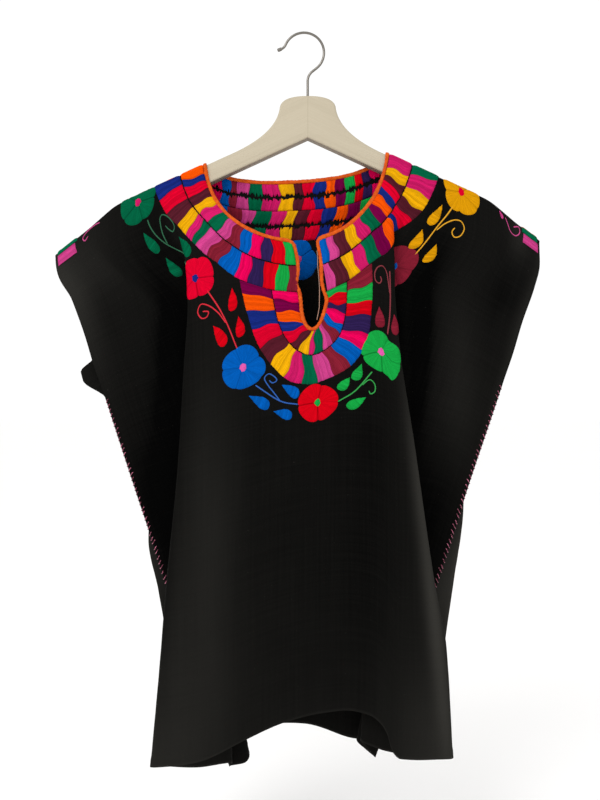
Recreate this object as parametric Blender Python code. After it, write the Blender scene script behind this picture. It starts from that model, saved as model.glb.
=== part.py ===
"""A huipil blouse hanging on a wooden hanger.

One black cotton cloth is folded over at the shoulders, so its front and its back are two panels that
meet along the top of the hanger. Each panel is drawn flat first, in two cloth coordinates: s runs
across it from its centre line (negative to the wearer's right, which is -X), and t runs down it from
the shoulder fold. A function then hangs the flat panel: it gives the place in space of every (s, t).

The panel hangs in one deep fold on each side. Its section goes out from the centre line to the fold
edge, turns back in behind the middle to a valley, and goes out again as the wing to the sleeve edge
or the side seam. The front faces -Y. The origin is where a rail carries the hook.
All sizes are in millimetres until a mesh is made.
"""

import math
from collections import namedtuple

import bmesh
import bpy
import numpy as np

MM = 0.001
GAP = 0.3
WOOD_GAP = 0.45

# The flat cut
HALF_WIDTH = 314.0
LENGTH = 650.0
WALL = 1.6
NECK_HALF = 105.5
FRONT_NECK_DROP = 107.0
BACK_NECK_DROP = 31.0
SLIT_HALF = 11.7
SLIT_TAPER_FROM = 171.0
SLIT_END = 210.0
SLIT_CORNER = 10.0
EDGING_WIDTH = 5.4
EDGING_THICK = 2.6

# The hanger and its hook
WOOD_X = 4.4
WOOD_HALF_SPAN = 197.0
WOOD_HALF_THICK = 10.0
WOOD_EDGE_ROUND = 2.5
ARM_SLOPE = 0.46
ARM_TOP_AT_AXIS = -101.9
ARM_HEIGHT = 22.6
HUMP_TOP = -75.2
HUMP_SHOULDER = (32.8, -88.5)
HUMP_FOOT = 96.0
WIRE_RADIUS = 1.5
HOOK_RADIUS = 23.6
HOOK_STEM_DEPTH = 16.0

# The shoulder line, where the cloth lies along the top of the hanger and falls past its arm ends
CLOTH_LIFT = (WOOD_GAP + WALL / 2) * math.hypot(1.0, ARM_SLOPE)
NECK_LEFT_X = -114.7
NECK_RIGHT_X = 96.2
NECK_CENTRE_X = (NECK_LEFT_X + NECK_RIGHT_X) / 2
SLEEVE_START = {-1: 224.0, 1: 211.5}
SLEEVE_SLOPE = {-1: 0.80, 1: 0.77}
RIDGE_HALF = WOOD_HALF_THICK + WOOD_GAP + WALL / 2
RIDGE_BEND = 3.6
SLEEVE_RIDGE_HALF = 4.5
DEPTH_HANGS = (34.0, 92.0)
WIDTH_HANGS = (45.0, 135.0)
SLEEVE_HANGS = (5.0, 62.0)

# The centre line of each panel, at each distance t down from the shoulder fold
Spine = namedtuple("Spine", "t x y")
SPINE = {
    "front": (
        Spine(0, -9.0, -16.0),
        Spine(110, 3.5, -25.0),
        Spine(170, 9.0, -28.0),
        Spine(215, 10.0, -30.0),
        Spine(300, 12.5, -35.0),
        Spine(460, 12.0, -44.0),
        Spine(650, 11.5, -51.0),
    ),
    "back": (
        Spine(0, -9.0, 14.0),
        Spine(110, -4.0, 17.0),
        Spine(215, 3.0, 23.0),
        Spine(300, 6.0, 29.0),
        Spine(460, 9.0, 38.0),
        Spine(650, 11.0, 45.0),
    ),
}

# The fold at each side of each panel: the fold edge, how far the panel waves between its centre line
# and that edge, the depth of the valley behind it, and the depth of the middle of the wing
Fold = namedtuple("Fold", "t fold_x fold_y wave valley_y wing_y")
FOLDS = {
    ("front", -1): (
        Fold(0, -135.0, -24.0, 0.0, -11.0, -11.5),
        Fold(90, -134.0, -28.0, 0.5, -12.0, -13.5),
        Fold(150, -134.0, -31.0, 1.0, -12.5, -14.0),
        Fold(220, -138.5, -33.0, 1.5, -13.0, -9.5),
        Fold(320, -144.5, -38.0, 2.5, -12.5, -8.0),
        Fold(465, -159.0, -43.0, 3.5, -12.0, -7.0),
        Fold(530, -164.3, -45.0, 4.0, -11.0, -6.0),
        Fold(650, -175.6, -46.0, 5.5, -10.0, -5.0),
    ),
    ("front", 1): (
        Fold(0, 110.0, -24.0, 0.0, -11.0, -11.5),
        Fold(90, 105.0, -28.0, -0.5, -12.0, -13.5),
        Fold(150, 104.5, -31.0, -1.0, -12.5, -14.0),
        Fold(220, 110.0, -33.0, -1.5, -13.0, -9.5),
        Fold(320, 126.5, -38.0, -2.0, -12.5, -8.0),
        Fold(465, 149.5, -43.0, 3.0, -12.0, -7.0),
        Fold(530, 162.5, -45.0, 4.5, -11.0, -6.0),
        Fold(650, 170.0, -46.0, 7.5, -10.0, -5.0),
    ),
    ("back", -1): (
        Fold(0, -135.0, 24.0, 0.0, 11.0, 11.5),
        Fold(90, -142.0, 27.0, -1.0, 12.0, 13.5),
        Fold(150, -152.0, 29.0, -2.0, 12.5, 14.0),
        Fold(220, -165.0, 31.0, -3.0, 13.0, 9.5),
        Fold(320, -179.0, 34.0, -5.0, 12.5, 8.0),
        Fold(405, -187.5, 37.0, -7.0, 12.0, 7.0),
        Fold(465, -176.0, 40.0, -9.0, 12.0, 7.0),
        Fold(530, -165.0, 42.0, -13.0, 11.0, 6.0),
        Fold(650, -150.0, 45.0, -18.0, 10.0, 5.0),
    ),
    ("back", 1): (
        Fold(0, 122.0, 24.0, 0.0, 11.0, 11.5),
        Fold(90, 135.0, 27.0, 1.0, 12.0, 13.5),
        Fold(150, 148.0, 29.0, 1.5, 12.5, 14.0),
        Fold(220, 164.0, 31.0, 2.5, 13.0, 9.5),
        Fold(320, 184.0, 33.0, 4.0, 12.5, 8.0),
        Fold(372, 192.3, 36.0, 5.0, 12.0, 7.0),
        Fold(465, 180.5, 40.0, 8.0, 12.0, 7.0),
        Fold(530, 171.0, 42.0, 13.0, 11.0, 6.0),
        Fold(650, 160.0, 45.0, 18.0, 10.0, 5.0),
    ),
}
FOLD_NOSE = 0.42
VALLEY_NOSE = 0.60
WAVE_REACH = 22.0
FOLD_REACH = 8.0

# The outer edge of both panels: the open sleeve edges down to the armhole's end, then the side seam
Edge = namedtuple("Edge", "t left_x right_x half_gap")
SEAM_HALF_GAP = 1.05
ARMHOLE_END = 185.0
EDGES = (
    Edge(0, -290.5, 278.5, SLEEVE_RIDGE_HALF),
    Edge(30, -284.0, 277.0, 8.0),
    Edge(60, -272.0, 270.5, 11.0),
    Edge(110, -255.0, 254.0, 13.0),
    Edge(145, -246.0, 245.0, 9.0),
    Edge(ARMHOLE_END, -234.0, 233.5, SEAM_HALF_GAP),
    Edge(310, -196.0, 194.0, SEAM_HALF_GAP),
    Edge(355, -182.0, 180.5, SEAM_HALF_GAP),
    Edge(430, -159.5, 157.6, SEAM_HALF_GAP),
    Edge(LENGTH, -87.3, 83.8, SEAM_HALF_GAP),
)

# The back's left sleeve edge droops out past the front's just above the armhole's end
LOBE_MIDDLE = 157.5
LOBE_HALF_LENGTH = 27.0
LOBE_OUT = 21.0

# The height of each hem along the cloth
Hem = namedtuple("Hem", "s z")
HEMS = {
    "front": (
        Hem(-HALF_WIDTH, -863.8),
        Hem(-292, -852.0),
        Hem(-250, -856.5),
        Hem(-188, -850.8),
        Hem(-136, -847.0),
        Hem(-79, -819.4),
        Hem(-28, -796.7),
        Hem(6, -787.7),
        Hem(35, -785.4),
        Hem(63, -788.8),
        Hem(80, -798.0),
        Hem(93, -822.0),
        Hem(114, -831.0),
        Hem(160, -838.0),
        Hem(215, -843.0),
        Hem(250, -838.0),
        Hem(285, -828.0),
        Hem(HALF_WIDTH, -853.2),
    ),
    "back": (
        Hem(-HALF_WIDTH, -863.8),
        Hem(-280, -850.0),
        Hem(-180, -852.0),
        Hem(-75, -835.0),
        Hem(-10, -828.0),
        Hem(60, -842.0),
        Hem(175, -850.0),
        Hem(285, -838.0),
        Hem(HALF_WIDTH, -853.2),
    ),
}

# Grid of a panel: fractions of the way between the stations of its section, and rows down it
MIDDLE_COLUMNS = (0.0, 0.13, 0.26, 0.39, 0.51, 0.62, 0.72, 0.81, 0.89, 0.95)
NOSE_COLUMNS = (0.0, 0.5)
LAYER_COLUMNS = (0.0, 0.2, 0.5, 0.8)
WING_COLUMNS = (0.0, 0.1, 0.25, 0.43, 0.62, 0.82, 1.0)
RIDGE_ROWS = (GAP / 2, 7.7, 9.5, 11.3, 13.1, 14.9)
ROW_COUNT = 26

OUTWARD = {"front": -1.0, "back": 1.0}


# ---------------------------------------------------------------- curves through tables

def read(rows, column, at):
    """Value of a table's column at each place, on a smooth curve that never overshoots its rows."""
    places = np.array([row[0] for row in rows], float)
    values = np.array([getattr(row, column) for row in rows], float)
    steps = np.diff(values) / np.diff(places)
    slopes = np.concatenate([steps[:1], np.zeros(len(steps) - 1), steps[-1:]])
    before, after = steps[:-1], steps[1:]
    same_way = before * after > 0
    slopes[1:-1][same_way] = (2 * before * after)[same_way] / (before + after)[same_way]
    k = np.clip(np.searchsorted(places, at, side="right") - 1, 0, len(places) - 2)
    span = places[k + 1] - places[k]
    u = np.clip((at - places[k]) / span, 0.0, 1.0)
    rise = u * u * (3 - 2 * u)
    start = values[k] * (1 - rise) + span * slopes[k] * u * (1 - u) ** 2
    return start + values[k + 1] * rise - span * slopes[k + 1] * u * u * (1 - u)


def ramp(distance, reach):
    """Zero before a corner and the distance past it, with a soft bend that reaches each way."""
    bend = (distance + reach) ** 2 / (4 * reach)
    return np.where(distance <= -reach, 0.0, np.where(distance >= reach, distance, bend))


def smooth_step(value, low, high):
    u = np.clip((value - low) / (high - low), 0.0, 1.0)
    return u * u * (3 - 2 * u)


def lengths_between(stations):
    return [np.hypot(b[0] - a[0], b[1] - a[1]) for a, b in zip(stations, stations[1:])]


def soft_path(stations, reaches, along):
    """Point at a distance along a line of straight stretches whose corners are softly bent."""
    spans = lengths_between(stations)
    ways = [((b[0] - a[0]) / d, (b[1] - a[1]) / d) for a, b, d in zip(stations, stations[1:], spans)]
    start = ramp(along, reaches[0])
    first = stations[0][0] + ways[0][0] * start
    second = stations[0][1] + ways[0][1] * start
    passed = 0.0
    for i, reach in enumerate(reaches[1:]):
        passed = passed + spans[i]
        reach = np.minimum(reach, 0.48 * np.minimum(spans[i], spans[i + 1]))
        turn = ramp(along - passed, reach)
        first = first + (ways[i + 1][0] - ways[i][0]) * turn
        second = second + (ways[i + 1][1] - ways[i][1]) * turn
    return first, second


# ---------------------------------------------------------------- how the cloth hangs

def arm_top(x):
    """Height of the straight top of the hanger's arms at a place across it."""
    return ARM_TOP_AT_AXIS - ARM_SLOPE * abs(x - WOOD_X)


def shoulder_stations(side):
    """Centre, neck point, arm end and sleeve end of the shoulder line on one side."""
    neck_x = NECK_LEFT_X if side < 0 else NECK_RIGHT_X
    neck_z = arm_top(neck_x) + CLOTH_LIFT
    centre_z = (arm_top(NECK_LEFT_X) + arm_top(NECK_RIGHT_X)) / 2 + CLOTH_LIFT
    arm_x = WOOD_X + side * SLEEVE_START[side]
    arm_z = arm_top(arm_x) + CLOTH_LIFT
    used = math.hypot(neck_x - NECK_CENTRE_X, neck_z - centre_z) + math.hypot(arm_x - neck_x, arm_z - neck_z)
    sleeve = HALF_WIDTH - used
    slope = SLEEVE_SLOPE[side]
    run = sleeve / math.hypot(1.0, slope)
    return [(NECK_CENTRE_X, centre_z), (neck_x, neck_z), (arm_x, arm_z), (arm_x + side * run, arm_z - slope * run)]


def shoulder_line(side, across):
    """Place of the fold over the hanger, half the cloth's depth there, and how far past the arm it is."""
    stations = shoulder_stations(side)
    x, z = soft_path(stations, (0.01, 0.5, 8.0), across)
    arm_end = sum(lengths_between(stations)[:2])
    off_arm = smooth_step(across, arm_end + 4.0, arm_end + 50.0)
    half_depth = RIDGE_HALF + (SLEEVE_RIDGE_HALF - RIDGE_HALF) * off_arm
    return x, z, half_depth, off_arm


def half_section(panel, side, t):
    """Stations of one half of the panel's section at t, from its centre line out to its edge."""
    spine, folds = SPINE[panel], FOLDS[panel, side]
    outward = OUTWARD[panel]
    centre = (read(spine, "x", t), read(spine, "y", t))
    fold_x, fold_y = read(folds, "fold_x", t), read(folds, "fold_y", t)
    valley_y, wing_y = read(folds, "valley_y", t), read(folds, "wing_y", t)
    wave = outward * read(folds, "wave", t)
    edge_x = read(EDGES, "left_x" if side < 0 else "right_x", t)
    edge_y = outward * read(EDGES, "half_gap", t)
    if (panel, side) == ("back", -1):
        from_end = LOBE_HALF_LENGTH - np.abs(t - LOBE_MIDDLE)
        edge_x = edge_x - LOBE_OUT * smooth_step(from_end, 0.0, 0.8 * LOBE_HALF_LENGTH)

    def across(share, push):
        return (centre[0] + share * (fold_x - centre[0]), centre[1] + share * (fold_y - centre[1]) + push)

    middle = [centre, across(0.33, -wave), across(0.67, wave), (fold_x, fold_y)]
    nose_y = fold_y + FOLD_NOSE * (valley_y - fold_y)
    turn_y = fold_y + VALLEY_NOSE * (valley_y - fold_y)
    used = sum(lengths_between(middle)) + abs(nose_y - fold_y) + abs(valley_y - turn_y)
    left_over = HALF_WIDTH - used
    fold_out, edge_out = side * fold_x, side * edge_x
    valley_out = np.minimum((fold_out + edge_out - left_over) / 2, np.minimum(fold_out - 8.0, edge_out + 10.0))
    valley_x = side * valley_out
    wing = ((valley_x + edge_x) / 2, wing_y)
    return middle + [(fold_x, nose_y), (valley_x, turn_y), (valley_x, valley_y), wing, (edge_x, edge_y)]


SECTION_REACHES = (WAVE_REACH, WAVE_REACH, WAVE_REACH, FOLD_REACH, FOLD_REACH, FOLD_REACH, FOLD_REACH, WAVE_REACH)


def section(panel, s, t):
    """Place across and depth of the hanging panel at (s, t), below the hanger."""
    x = read(SPINE[panel], "x", t)
    y = read(SPINE[panel], "y", t)
    centre = (x, y)
    for side in (-1, 1):
        stations = half_section(panel, side, t)
        fit = sum(lengths_between(stations)) / HALF_WIDTH
        path_x, path_y = soft_path(stations, SECTION_REACHES, side * s * fit)
        x = x + path_x - centre[0]
        y = y + path_y - centre[1]
    return x, y


def hung(t, stretch, off_arm):
    """How far the cloth has left the hanger's form for its own, which starts sooner past the arm."""
    low, high = (a + (b - a) * off_arm for a, b in zip(stretch, SLEEVE_HANGS))
    return smooth_step(t, low, high)


def drape(panel, s, t):
    """Points in space of the middle of the panel's wall, for arrays of cloth coordinates."""
    s, t = np.broadcast_arrays(np.asarray(s, float), np.asarray(t, float))
    left, right = shoulder_line(-1, np.abs(s)), shoulder_line(1, np.abs(s))
    ridge_x, ridge_z, ridge_half, off_arm = (np.where(s < 0, a, b) for a, b in zip(left, right))
    down = ramp(t - ridge_half, RIDGE_BEND)
    hem_z = read(HEMS[panel], "z", s)
    z = ridge_z - down * (ridge_z - hem_z) / (LENGTH - ridge_half)
    ridge_y = OUTWARD[panel] * (t - down)
    pleated_x, pleated_y = section(panel, s, t)
    x = ridge_x + (pleated_x - ridge_x) * hung(t, WIDTH_HANGS, off_arm)
    y = ridge_y + (pleated_y - ridge_y) * hung(t, DEPTH_HANGS, off_arm)
    return np.stack([x, y, z], axis=-1)


def surface(panel, s, t, lift):
    """Points lifted off the middle of the wall, outwards where the lift is positive."""
    step = 0.4
    run_s = drape(panel, s + step, t) - drape(panel, s - step, t)
    run_t = drape(panel, s, t + step) - drape(panel, s, t - step)
    normal = np.cross(run_s, run_t) * OUTWARD[panel]
    normal /= np.linalg.norm(normal, axis=-1, keepdims=True)
    return drape(panel, s, t) + normal * np.asarray(lift, float)[..., None]


# ---------------------------------------------------------------- the neck opening, drawn flat

NECK_ROUNDNESS = {"front": 2.0, "back": 2.3}


def neck_drop(panel):
    return FRONT_NECK_DROP if panel == "front" else BACK_NECK_DROP


def neck_curve(panel, side, angle):
    """Point of the neck's oval at an angle from the shoulder (0) to the centre line (90 degrees)."""
    power = 2 / NECK_ROUNDNESS[panel]
    return (side * NECK_HALF * math.cos(angle) ** power, neck_drop(panel) * math.sin(angle) ** power)


def neck_angles(panel, side, last):
    """Angles of the oval's points: one on each row over the hanger, then even steps."""
    power = 2 / NECK_ROUNDNESS[panel]
    over = [math.asin((t / neck_drop(panel)) ** (1 / power)) for t in RIDGE_ROWS]
    steps = max(2, round((last - over[-1]) / math.radians(9)))
    return over + [over[-1] + (last - over[-1]) * i / steps for i in range(1, steps + 1)]


def front_neck_half(side):
    """Front opening on one side, from the shoulder round the neck and down to the slit's end."""
    curve = [neck_curve("front", side, a) for a in neck_angles("front", side, math.radians(79))]
    corner_s = side * SLIT_HALF
    near = [p for p in curve if abs(p[0]) > SLIT_HALF + SLIT_CORNER]
    start = near[-1]
    rise = (FRONT_NECK_DROP - start[1]) * 0.75
    corner = (corner_s, start[1] + rise)
    end = (corner_s, corner[1] + SLIT_CORNER)
    bend = []
    for u in (0.25, 0.5, 0.75, 1.0):
        weights = ((1 - u) ** 2, 2 * u * (1 - u), u * u)
        bend.append(tuple(sum(w * p[i] for w, p in zip(weights, (start, corner, end))) for i in (0, 1)))
    straight = [(corner_s, end[1] + (SLIT_TAPER_FROM - end[1]) * u) for u in (0.33, 0.67, 1.0)]
    taper = SLIT_END - SLIT_TAPER_FROM
    tip = [
        (corner_s * math.cos(math.radians(a)), SLIT_TAPER_FROM + taper * math.sin(math.radians(a)))
        for a in (20, 40, 57, 72, 82)
    ]
    return near + bend + straight + tip


def neck_outline(panel):
    """The opening's edge from the left shoulder to the right, as points of the flat cloth."""
    if panel == "front":
        return front_neck_half(-1) + [(0.0, SLIT_END)] + front_neck_half(1)[::-1]
    left, right = (
        [neck_curve("back", side, a) for a in neck_angles("back", side, math.radians(81))] for side in (-1, 1)
    )
    return left + [(0.0, BACK_NECK_DROP)] + right[::-1]


def moved_out(outline, distance):
    """The outline moved into the cloth by a distance, square to itself, its ends kept on the fold."""
    points = np.array(outline)
    ways = np.gradient(points, axis=0)
    ways[0] = ways[1] * (0, 1)
    ways[-1] = ways[-2] * (0, 1)
    ways /= np.linalg.norm(ways, axis=1, keepdims=True)
    return points + np.stack([-ways[:, 1], ways[:, 0]], axis=1) * distance


# ---------------------------------------------------------------- making objects

def clear_scene():
    for obj in list(bpy.data.objects):
        bpy.data.objects.remove(obj, do_unlink=True)


def material(name, colour, roughness, metallic=0.0):
    mat = bpy.data.materials.new(name)
    mat.use_nodes = True
    shader = mat.node_tree.nodes["Principled BSDF"]
    shader.inputs["Base Color"].default_value = (*colour, 1.0)
    shader.inputs["Roughness"].default_value = roughness
    shader.inputs["Metallic"].default_value = metallic
    return mat


def new_object(name, mesh, mat=None):
    obj = bpy.data.objects.new(name, mesh)
    if mat:
        mesh.materials.append(mat)
    bpy.context.scene.collection.objects.link(obj)
    return obj


def as_helper(obj):
    obj.hide_render = True
    obj.display_type = "WIRE"
    return obj


def cut_away(obj, cutter):
    """Take a cutter's shape out of an object, leaving the cutter as a hidden helper."""
    cut = obj.modifiers.new("cut", "BOOLEAN")
    cut.operation = "DIFFERENCE"
    cut.object = as_helper(cutter)


def mesh_from(name, verts, faces):
    mesh = bpy.data.meshes.new(name)
    mesh.from_pydata([tuple(v) for v in verts], [], faces)
    mesh.update()
    return mesh


def prism(name, outline, low, high):
    """Closed prism over a flat outline that runs anticlockwise, between two heights."""
    n = len(outline)
    verts = [(p[0], p[1], low) for p in outline] + [(p[0], p[1], high) for p in outline]
    faces = [tuple(range(n))[::-1], tuple(range(n, 2 * n))]
    faces += [(i, (i + 1) % n, n + (i + 1) % n, n + i) for i in range(n)]
    return mesh_from(name, verts, faces)


def shade_round(mesh, angle=35.0):
    mesh.shade_smooth()
    mesh.set_sharp_from_angle(angle=math.radians(angle))


# ---------------------------------------------------------------- the cloth panels

def column_places(panel, side, t):
    """Distances across the cloth of one side's grid lines at t, which follow the fold and the valley."""
    stations = half_section(panel, side, np.array([t]))
    spans = [float(d[0]) for d in lengths_between(stations)]
    fit = HALF_WIDTH / sum(spans)
    stops = np.cumsum([0.0, sum(spans[:3])] + spans[3:6] + [sum(spans[6:])]) * fit
    places = []
    groups = (MIDDLE_COLUMNS, NOSE_COLUMNS, LAYER_COLUMNS, NOSE_COLUMNS, WING_COLUMNS)
    for low, high, shares in zip(stops, stops[1:], groups):
        places += [low + (high - low) * share for share in shares]
    return places


def panel_rows():
    """Distances down the cloth of the grid's rows: close together over the hanger, then even."""
    start = RIDGE_ROWS[-1]
    even = [start + (LENGTH - start) * (i / ROW_COUNT) ** 1.12 for i in range(1, ROW_COUNT + 1)]
    return list(RIDGE_ROWS) + even


def flat_panel(panel):
    """The uncut panel as a flat slab, one unit thick, whose grid follows the folds."""
    rows = []
    for t in panel_rows():
        left = [-s for s in column_places(panel, -1, t)[:0:-1]]
        rows.append([(s, t) for s in left + column_places(panel, 1, t)])
    width, count = len(rows[0]), len(rows)
    points = [p for row in rows for p in row]
    verts = [(s, t, 0.0) for s, t in points] + [(s, t, 1.0) for s, t in points]
    under = len(points)
    faces = []
    for j in range(count - 1):
        for i in range(width - 1):
            a, b, c, d = j * width + i, j * width + i + 1, (j + 1) * width + i + 1, (j + 1) * width + i
            faces += [(a, d, c, b), (under + a, under + b, under + c, under + d)]
    rim = list(range(width)) + [j * width + width - 1 for j in range(1, count)]
    rim += list(range((count - 1) * width + width - 2, (count - 1) * width - 1, -1))
    rim += [j * width for j in range(count - 2, 0, -1)]
    faces += [(a, b, under + b, under + a) for a, b in zip(rim, rim[1:] + rim[:1])]
    return mesh_from(panel + "_flat", verts, faces)


def neck_cutter(panel):
    """Prism of what is cut out of the flat panel: the opening and the width of its edging."""
    edge = [tuple(p) for p in moved_out(neck_outline(panel), EDGING_WIDTH + GAP)]
    above = -20.0
    outline = [(edge[-1][0], above), (edge[0][0], above)] + edge
    return prism(panel + "_neck_cutter", outline[::-1], -3.0, 4.0)


def hung_panel(panel, mat):
    """Cut the neck out of the flat panel, then hang it."""
    flat = new_object(panel + "_flat", flat_panel(panel))
    cutter = new_object(panel + "_cutter", neck_cutter(panel))
    cut_away(flat, cutter)
    evaluated = flat.evaluated_get(bpy.context.evaluated_depsgraph_get())
    mesh = bpy.data.meshes.new_from_object(evaluated)
    mesh.name = panel
    for helper in (flat, cutter):
        bpy.data.objects.remove(helper, do_unlink=True)
    shape = bmesh.new()
    shape.from_mesh(mesh)
    bmesh.ops.remove_doubles(shape, verts=shape.verts, dist=0.01)
    bmesh.ops.triangulate(shape, faces=[f for f in shape.faces if len(f.verts) > 3])
    flat_points = np.array([v.co for v in shape.verts])
    lift = (flat_points[:, 2] - 0.5) * WALL
    hung = surface(panel, flat_points[:, 0], flat_points[:, 1], lift)
    for vert, place in zip(shape.verts, hung):
        vert.co = place * MM
    if panel == "front":
        bmesh.ops.reverse_faces(shape, faces=shape.faces)
    shape.to_mesh(mesh)
    shape.free()
    mesh.materials.clear()
    shade_round(mesh, 50.0)
    return new_object(panel, mesh, mat)


# ---------------------------------------------------------------- the corded neck edge

EDGING_PROFILE = ((0.0, 0.0), (0.1, 0.7), (0.5, 1.0), (0.9, 0.7), (1.0, 0.0), (0.9, -0.7), (0.5, -1.0), (0.1, -0.7))


def neck_edging(panel, mat):
    """Round-backed band between the cloth's cut edge and the opening, level with the cloth inside."""
    inner = moved_out(neck_outline(panel), 0.0)
    outer = moved_out(neck_outline(panel), EDGING_WIDTH)
    inner[[0, -1], 1] = outer[[0, -1], 1] = GAP / 2
    rings = []
    for near, far in zip(inner, outer):
        across = np.array([near + (far - near) * share for share, _ in EDGING_PROFILE])
        lift = np.array([(EDGING_THICK * (1 + height) - WALL) / 2 for _, height in EDGING_PROFILE])
        rings.append(surface(panel, across[:, 0], across[:, 1], lift) * MM)
    size = len(EDGING_PROFILE)
    faces = [tuple(range(size))[::-1], tuple(range((len(rings) - 1) * size, len(rings) * size))]
    for r in range(len(rings) - 1):
        for i in range(size):
            j = (i + 1) % size
            faces.append((r * size + i, r * size + j, (r + 1) * size + j, (r + 1) * size + i))
    mesh = mesh_from("neck_edge_" + panel, np.concatenate(rings), faces)
    shape = bmesh.new()
    shape.from_mesh(mesh)
    bmesh.ops.recalc_face_normals(shape, faces=shape.faces)
    shape.to_mesh(mesh)
    shape.free()
    shade_round(mesh, 60.0)
    return new_object("neck_edge_" + panel, mesh, mat)


# ---------------------------------------------------------------- the hanger and its hook

def bezier(start, pull, end, count):
    """Points of a curve that leaves its start towards the pull and reaches its end from it."""
    points = []
    for i in range(1, count + 1):
        u = i / count
        points.append(tuple((1 - u) ** 2 * a + 2 * u * (1 - u) * b + u * u * c for a, b, c in zip(start, pull, end)))
    return points


def wood_half_outline():
    """Half of the hanger's face, from the top of the hump to the underside, as (out, height)."""
    top = (0.0, HUMP_TOP)
    foot = (HUMP_FOOT, ARM_TOP_AT_AXIS - ARM_SLOPE * HUMP_FOOT)
    hump = [top] + bezier(top, (30.5, HUMP_TOP), HUMP_SHOULDER, 5)
    flank = bezier(HUMP_SHOULDER, (36.5, -121.0), foot, 7)
    tip_top = ARM_TOP_AT_AXIS - ARM_SLOPE * WOOD_HALF_SPAN
    nose = ARM_HEIGHT / 2
    centre = (WOOD_HALF_SPAN - nose, tip_top + ARM_SLOPE * nose - nose)
    lean = math.atan(ARM_SLOPE)
    end = []
    for i in range(7):
        a = math.radians(90 - 30 * i) - lean
        radius = nose * math.cos(lean)
        end.append((centre[0] + radius * math.cos(a), centre[1] + radius * math.sin(a)))
    return hump + flank + end + [(0.0, ARM_TOP_AT_AXIS - ARM_HEIGHT)]


def hanger(mat):
    """Wooden hanger, with a hole down its middle for the wire."""
    half = wood_half_outline()
    right = [(WOOD_X + out, z) for out, z in half]
    left = [(WOOD_X - out, z) for out, z in half[-2:0:-1]]
    outline = [(x * MM, z * MM) for x, z in right + left][::-1]
    mesh = prism("hanger", outline, -WOOD_HALF_THICK * MM, WOOD_HALF_THICK * MM)
    for vert in mesh.vertices:
        x, z, depth = vert.co
        vert.co = (x, -depth, z)
    obj = new_object("hanger", mesh, mat)
    bevel = obj.modifiers.new("rounded edges", "BEVEL")
    bevel.width = WOOD_EDGE_ROUND * MM
    bevel.segments = 2
    bevel.limit_method = "ANGLE"
    bevel.angle_limit = math.radians(50)
    depth = HOOK_STEM_DEPTH + 2.0
    circle = [
        ((WIRE_RADIUS + GAP + 0.15) * math.cos(math.tau * i / 12) * MM,
         (WIRE_RADIUS + GAP + 0.15) * math.sin(math.tau * i / 12) * MM)
        for i in range(12)
    ]
    bore = new_object("hook_hole_cutter", prism("hook_hole_cutter", circle, -depth * MM, 10 * MM))
    bore.location = (WOOD_X * MM, 0.0, HUMP_TOP * MM)
    cut_away(obj, bore)
    return obj


def hook_route():
    """Centre line of the wire: up from the wood, out to the ring, over the top and to its open end."""
    centre_z = WIRE_RADIUS - HOOK_RADIUS
    stem_top = -54.5
    stem = [(WOOD_X, HUMP_TOP - HOOK_STEM_DEPTH), (WOOD_X, stem_top - 6.0), (WOOD_X, stem_top)]
    ring = []
    for a in range(-52, 163, 11):
        angle = math.radians(a)
        ring.append((HOOK_RADIUS * math.cos(angle), centre_z + HOOK_RADIUS * math.sin(angle)))
    neck = bezier(stem[-1], (WOOD_X + 0.8, stem_top + 6.0), ring[0], 4)
    end = bezier(ring[-1], (ring[-1][0] - 1.6, ring[-1][1] - 5.0), (-28.8, -19.6), 3)
    return stem + neck[:-1] + ring + end


def hook(mat):
    """Bent wire with a small round end."""
    route = hook_route()
    curve = bpy.data.curves.new("hook", "CURVE")
    curve.dimensions = "3D"
    curve.bevel_depth = WIRE_RADIUS * MM
    curve.bevel_resolution = 1
    curve.use_fill_caps = True
    line = curve.splines.new("POLY")
    line.points.add(len(route) - 1)
    for i, (point, (x, z)) in enumerate(zip(line.points, route)):
        point.co = (x * MM, 0.0, z * MM, 1.0)
        point.radius = 1.3 if i == len(route) - 1 else 1.0
    obj = new_object("hook", curve)
    curve.materials.append(mat)
    return obj


clear_scene()
black_cotton = material("black cotton", (0.018, 0.014, 0.011), 0.9)
orange_cord = material("orange cord", (0.86, 0.14, 0.01), 0.7)
pale_wood = material("whitewashed wood", (0.62, 0.55, 0.44), 0.6)
bright_wire = material("bright wire", (0.6, 0.6, 0.58), 0.25, 1.0)
hung_panel("front", black_cotton)
hung_panel("back", black_cotton)
neck_edging("front", orange_cord)
neck_edging("back", orange_cord)
hanger(pale_wood)
hook(bright_wire)
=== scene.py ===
"""A huipil: a black cotton blouse with an embroidered collar, hung on a whitewashed wooden hanger.

The blouse is one cloth folded over at the shoulders. Each half is drawn flat, in millimetres: s runs
across it from its centre line and t down it from the shoulder fold. One function hangs the flat cloth,
and everything sewn on it is drawn flat too and hung by the same function, so it lies on the cloth.
"""

import math
from collections import namedtuple

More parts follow.
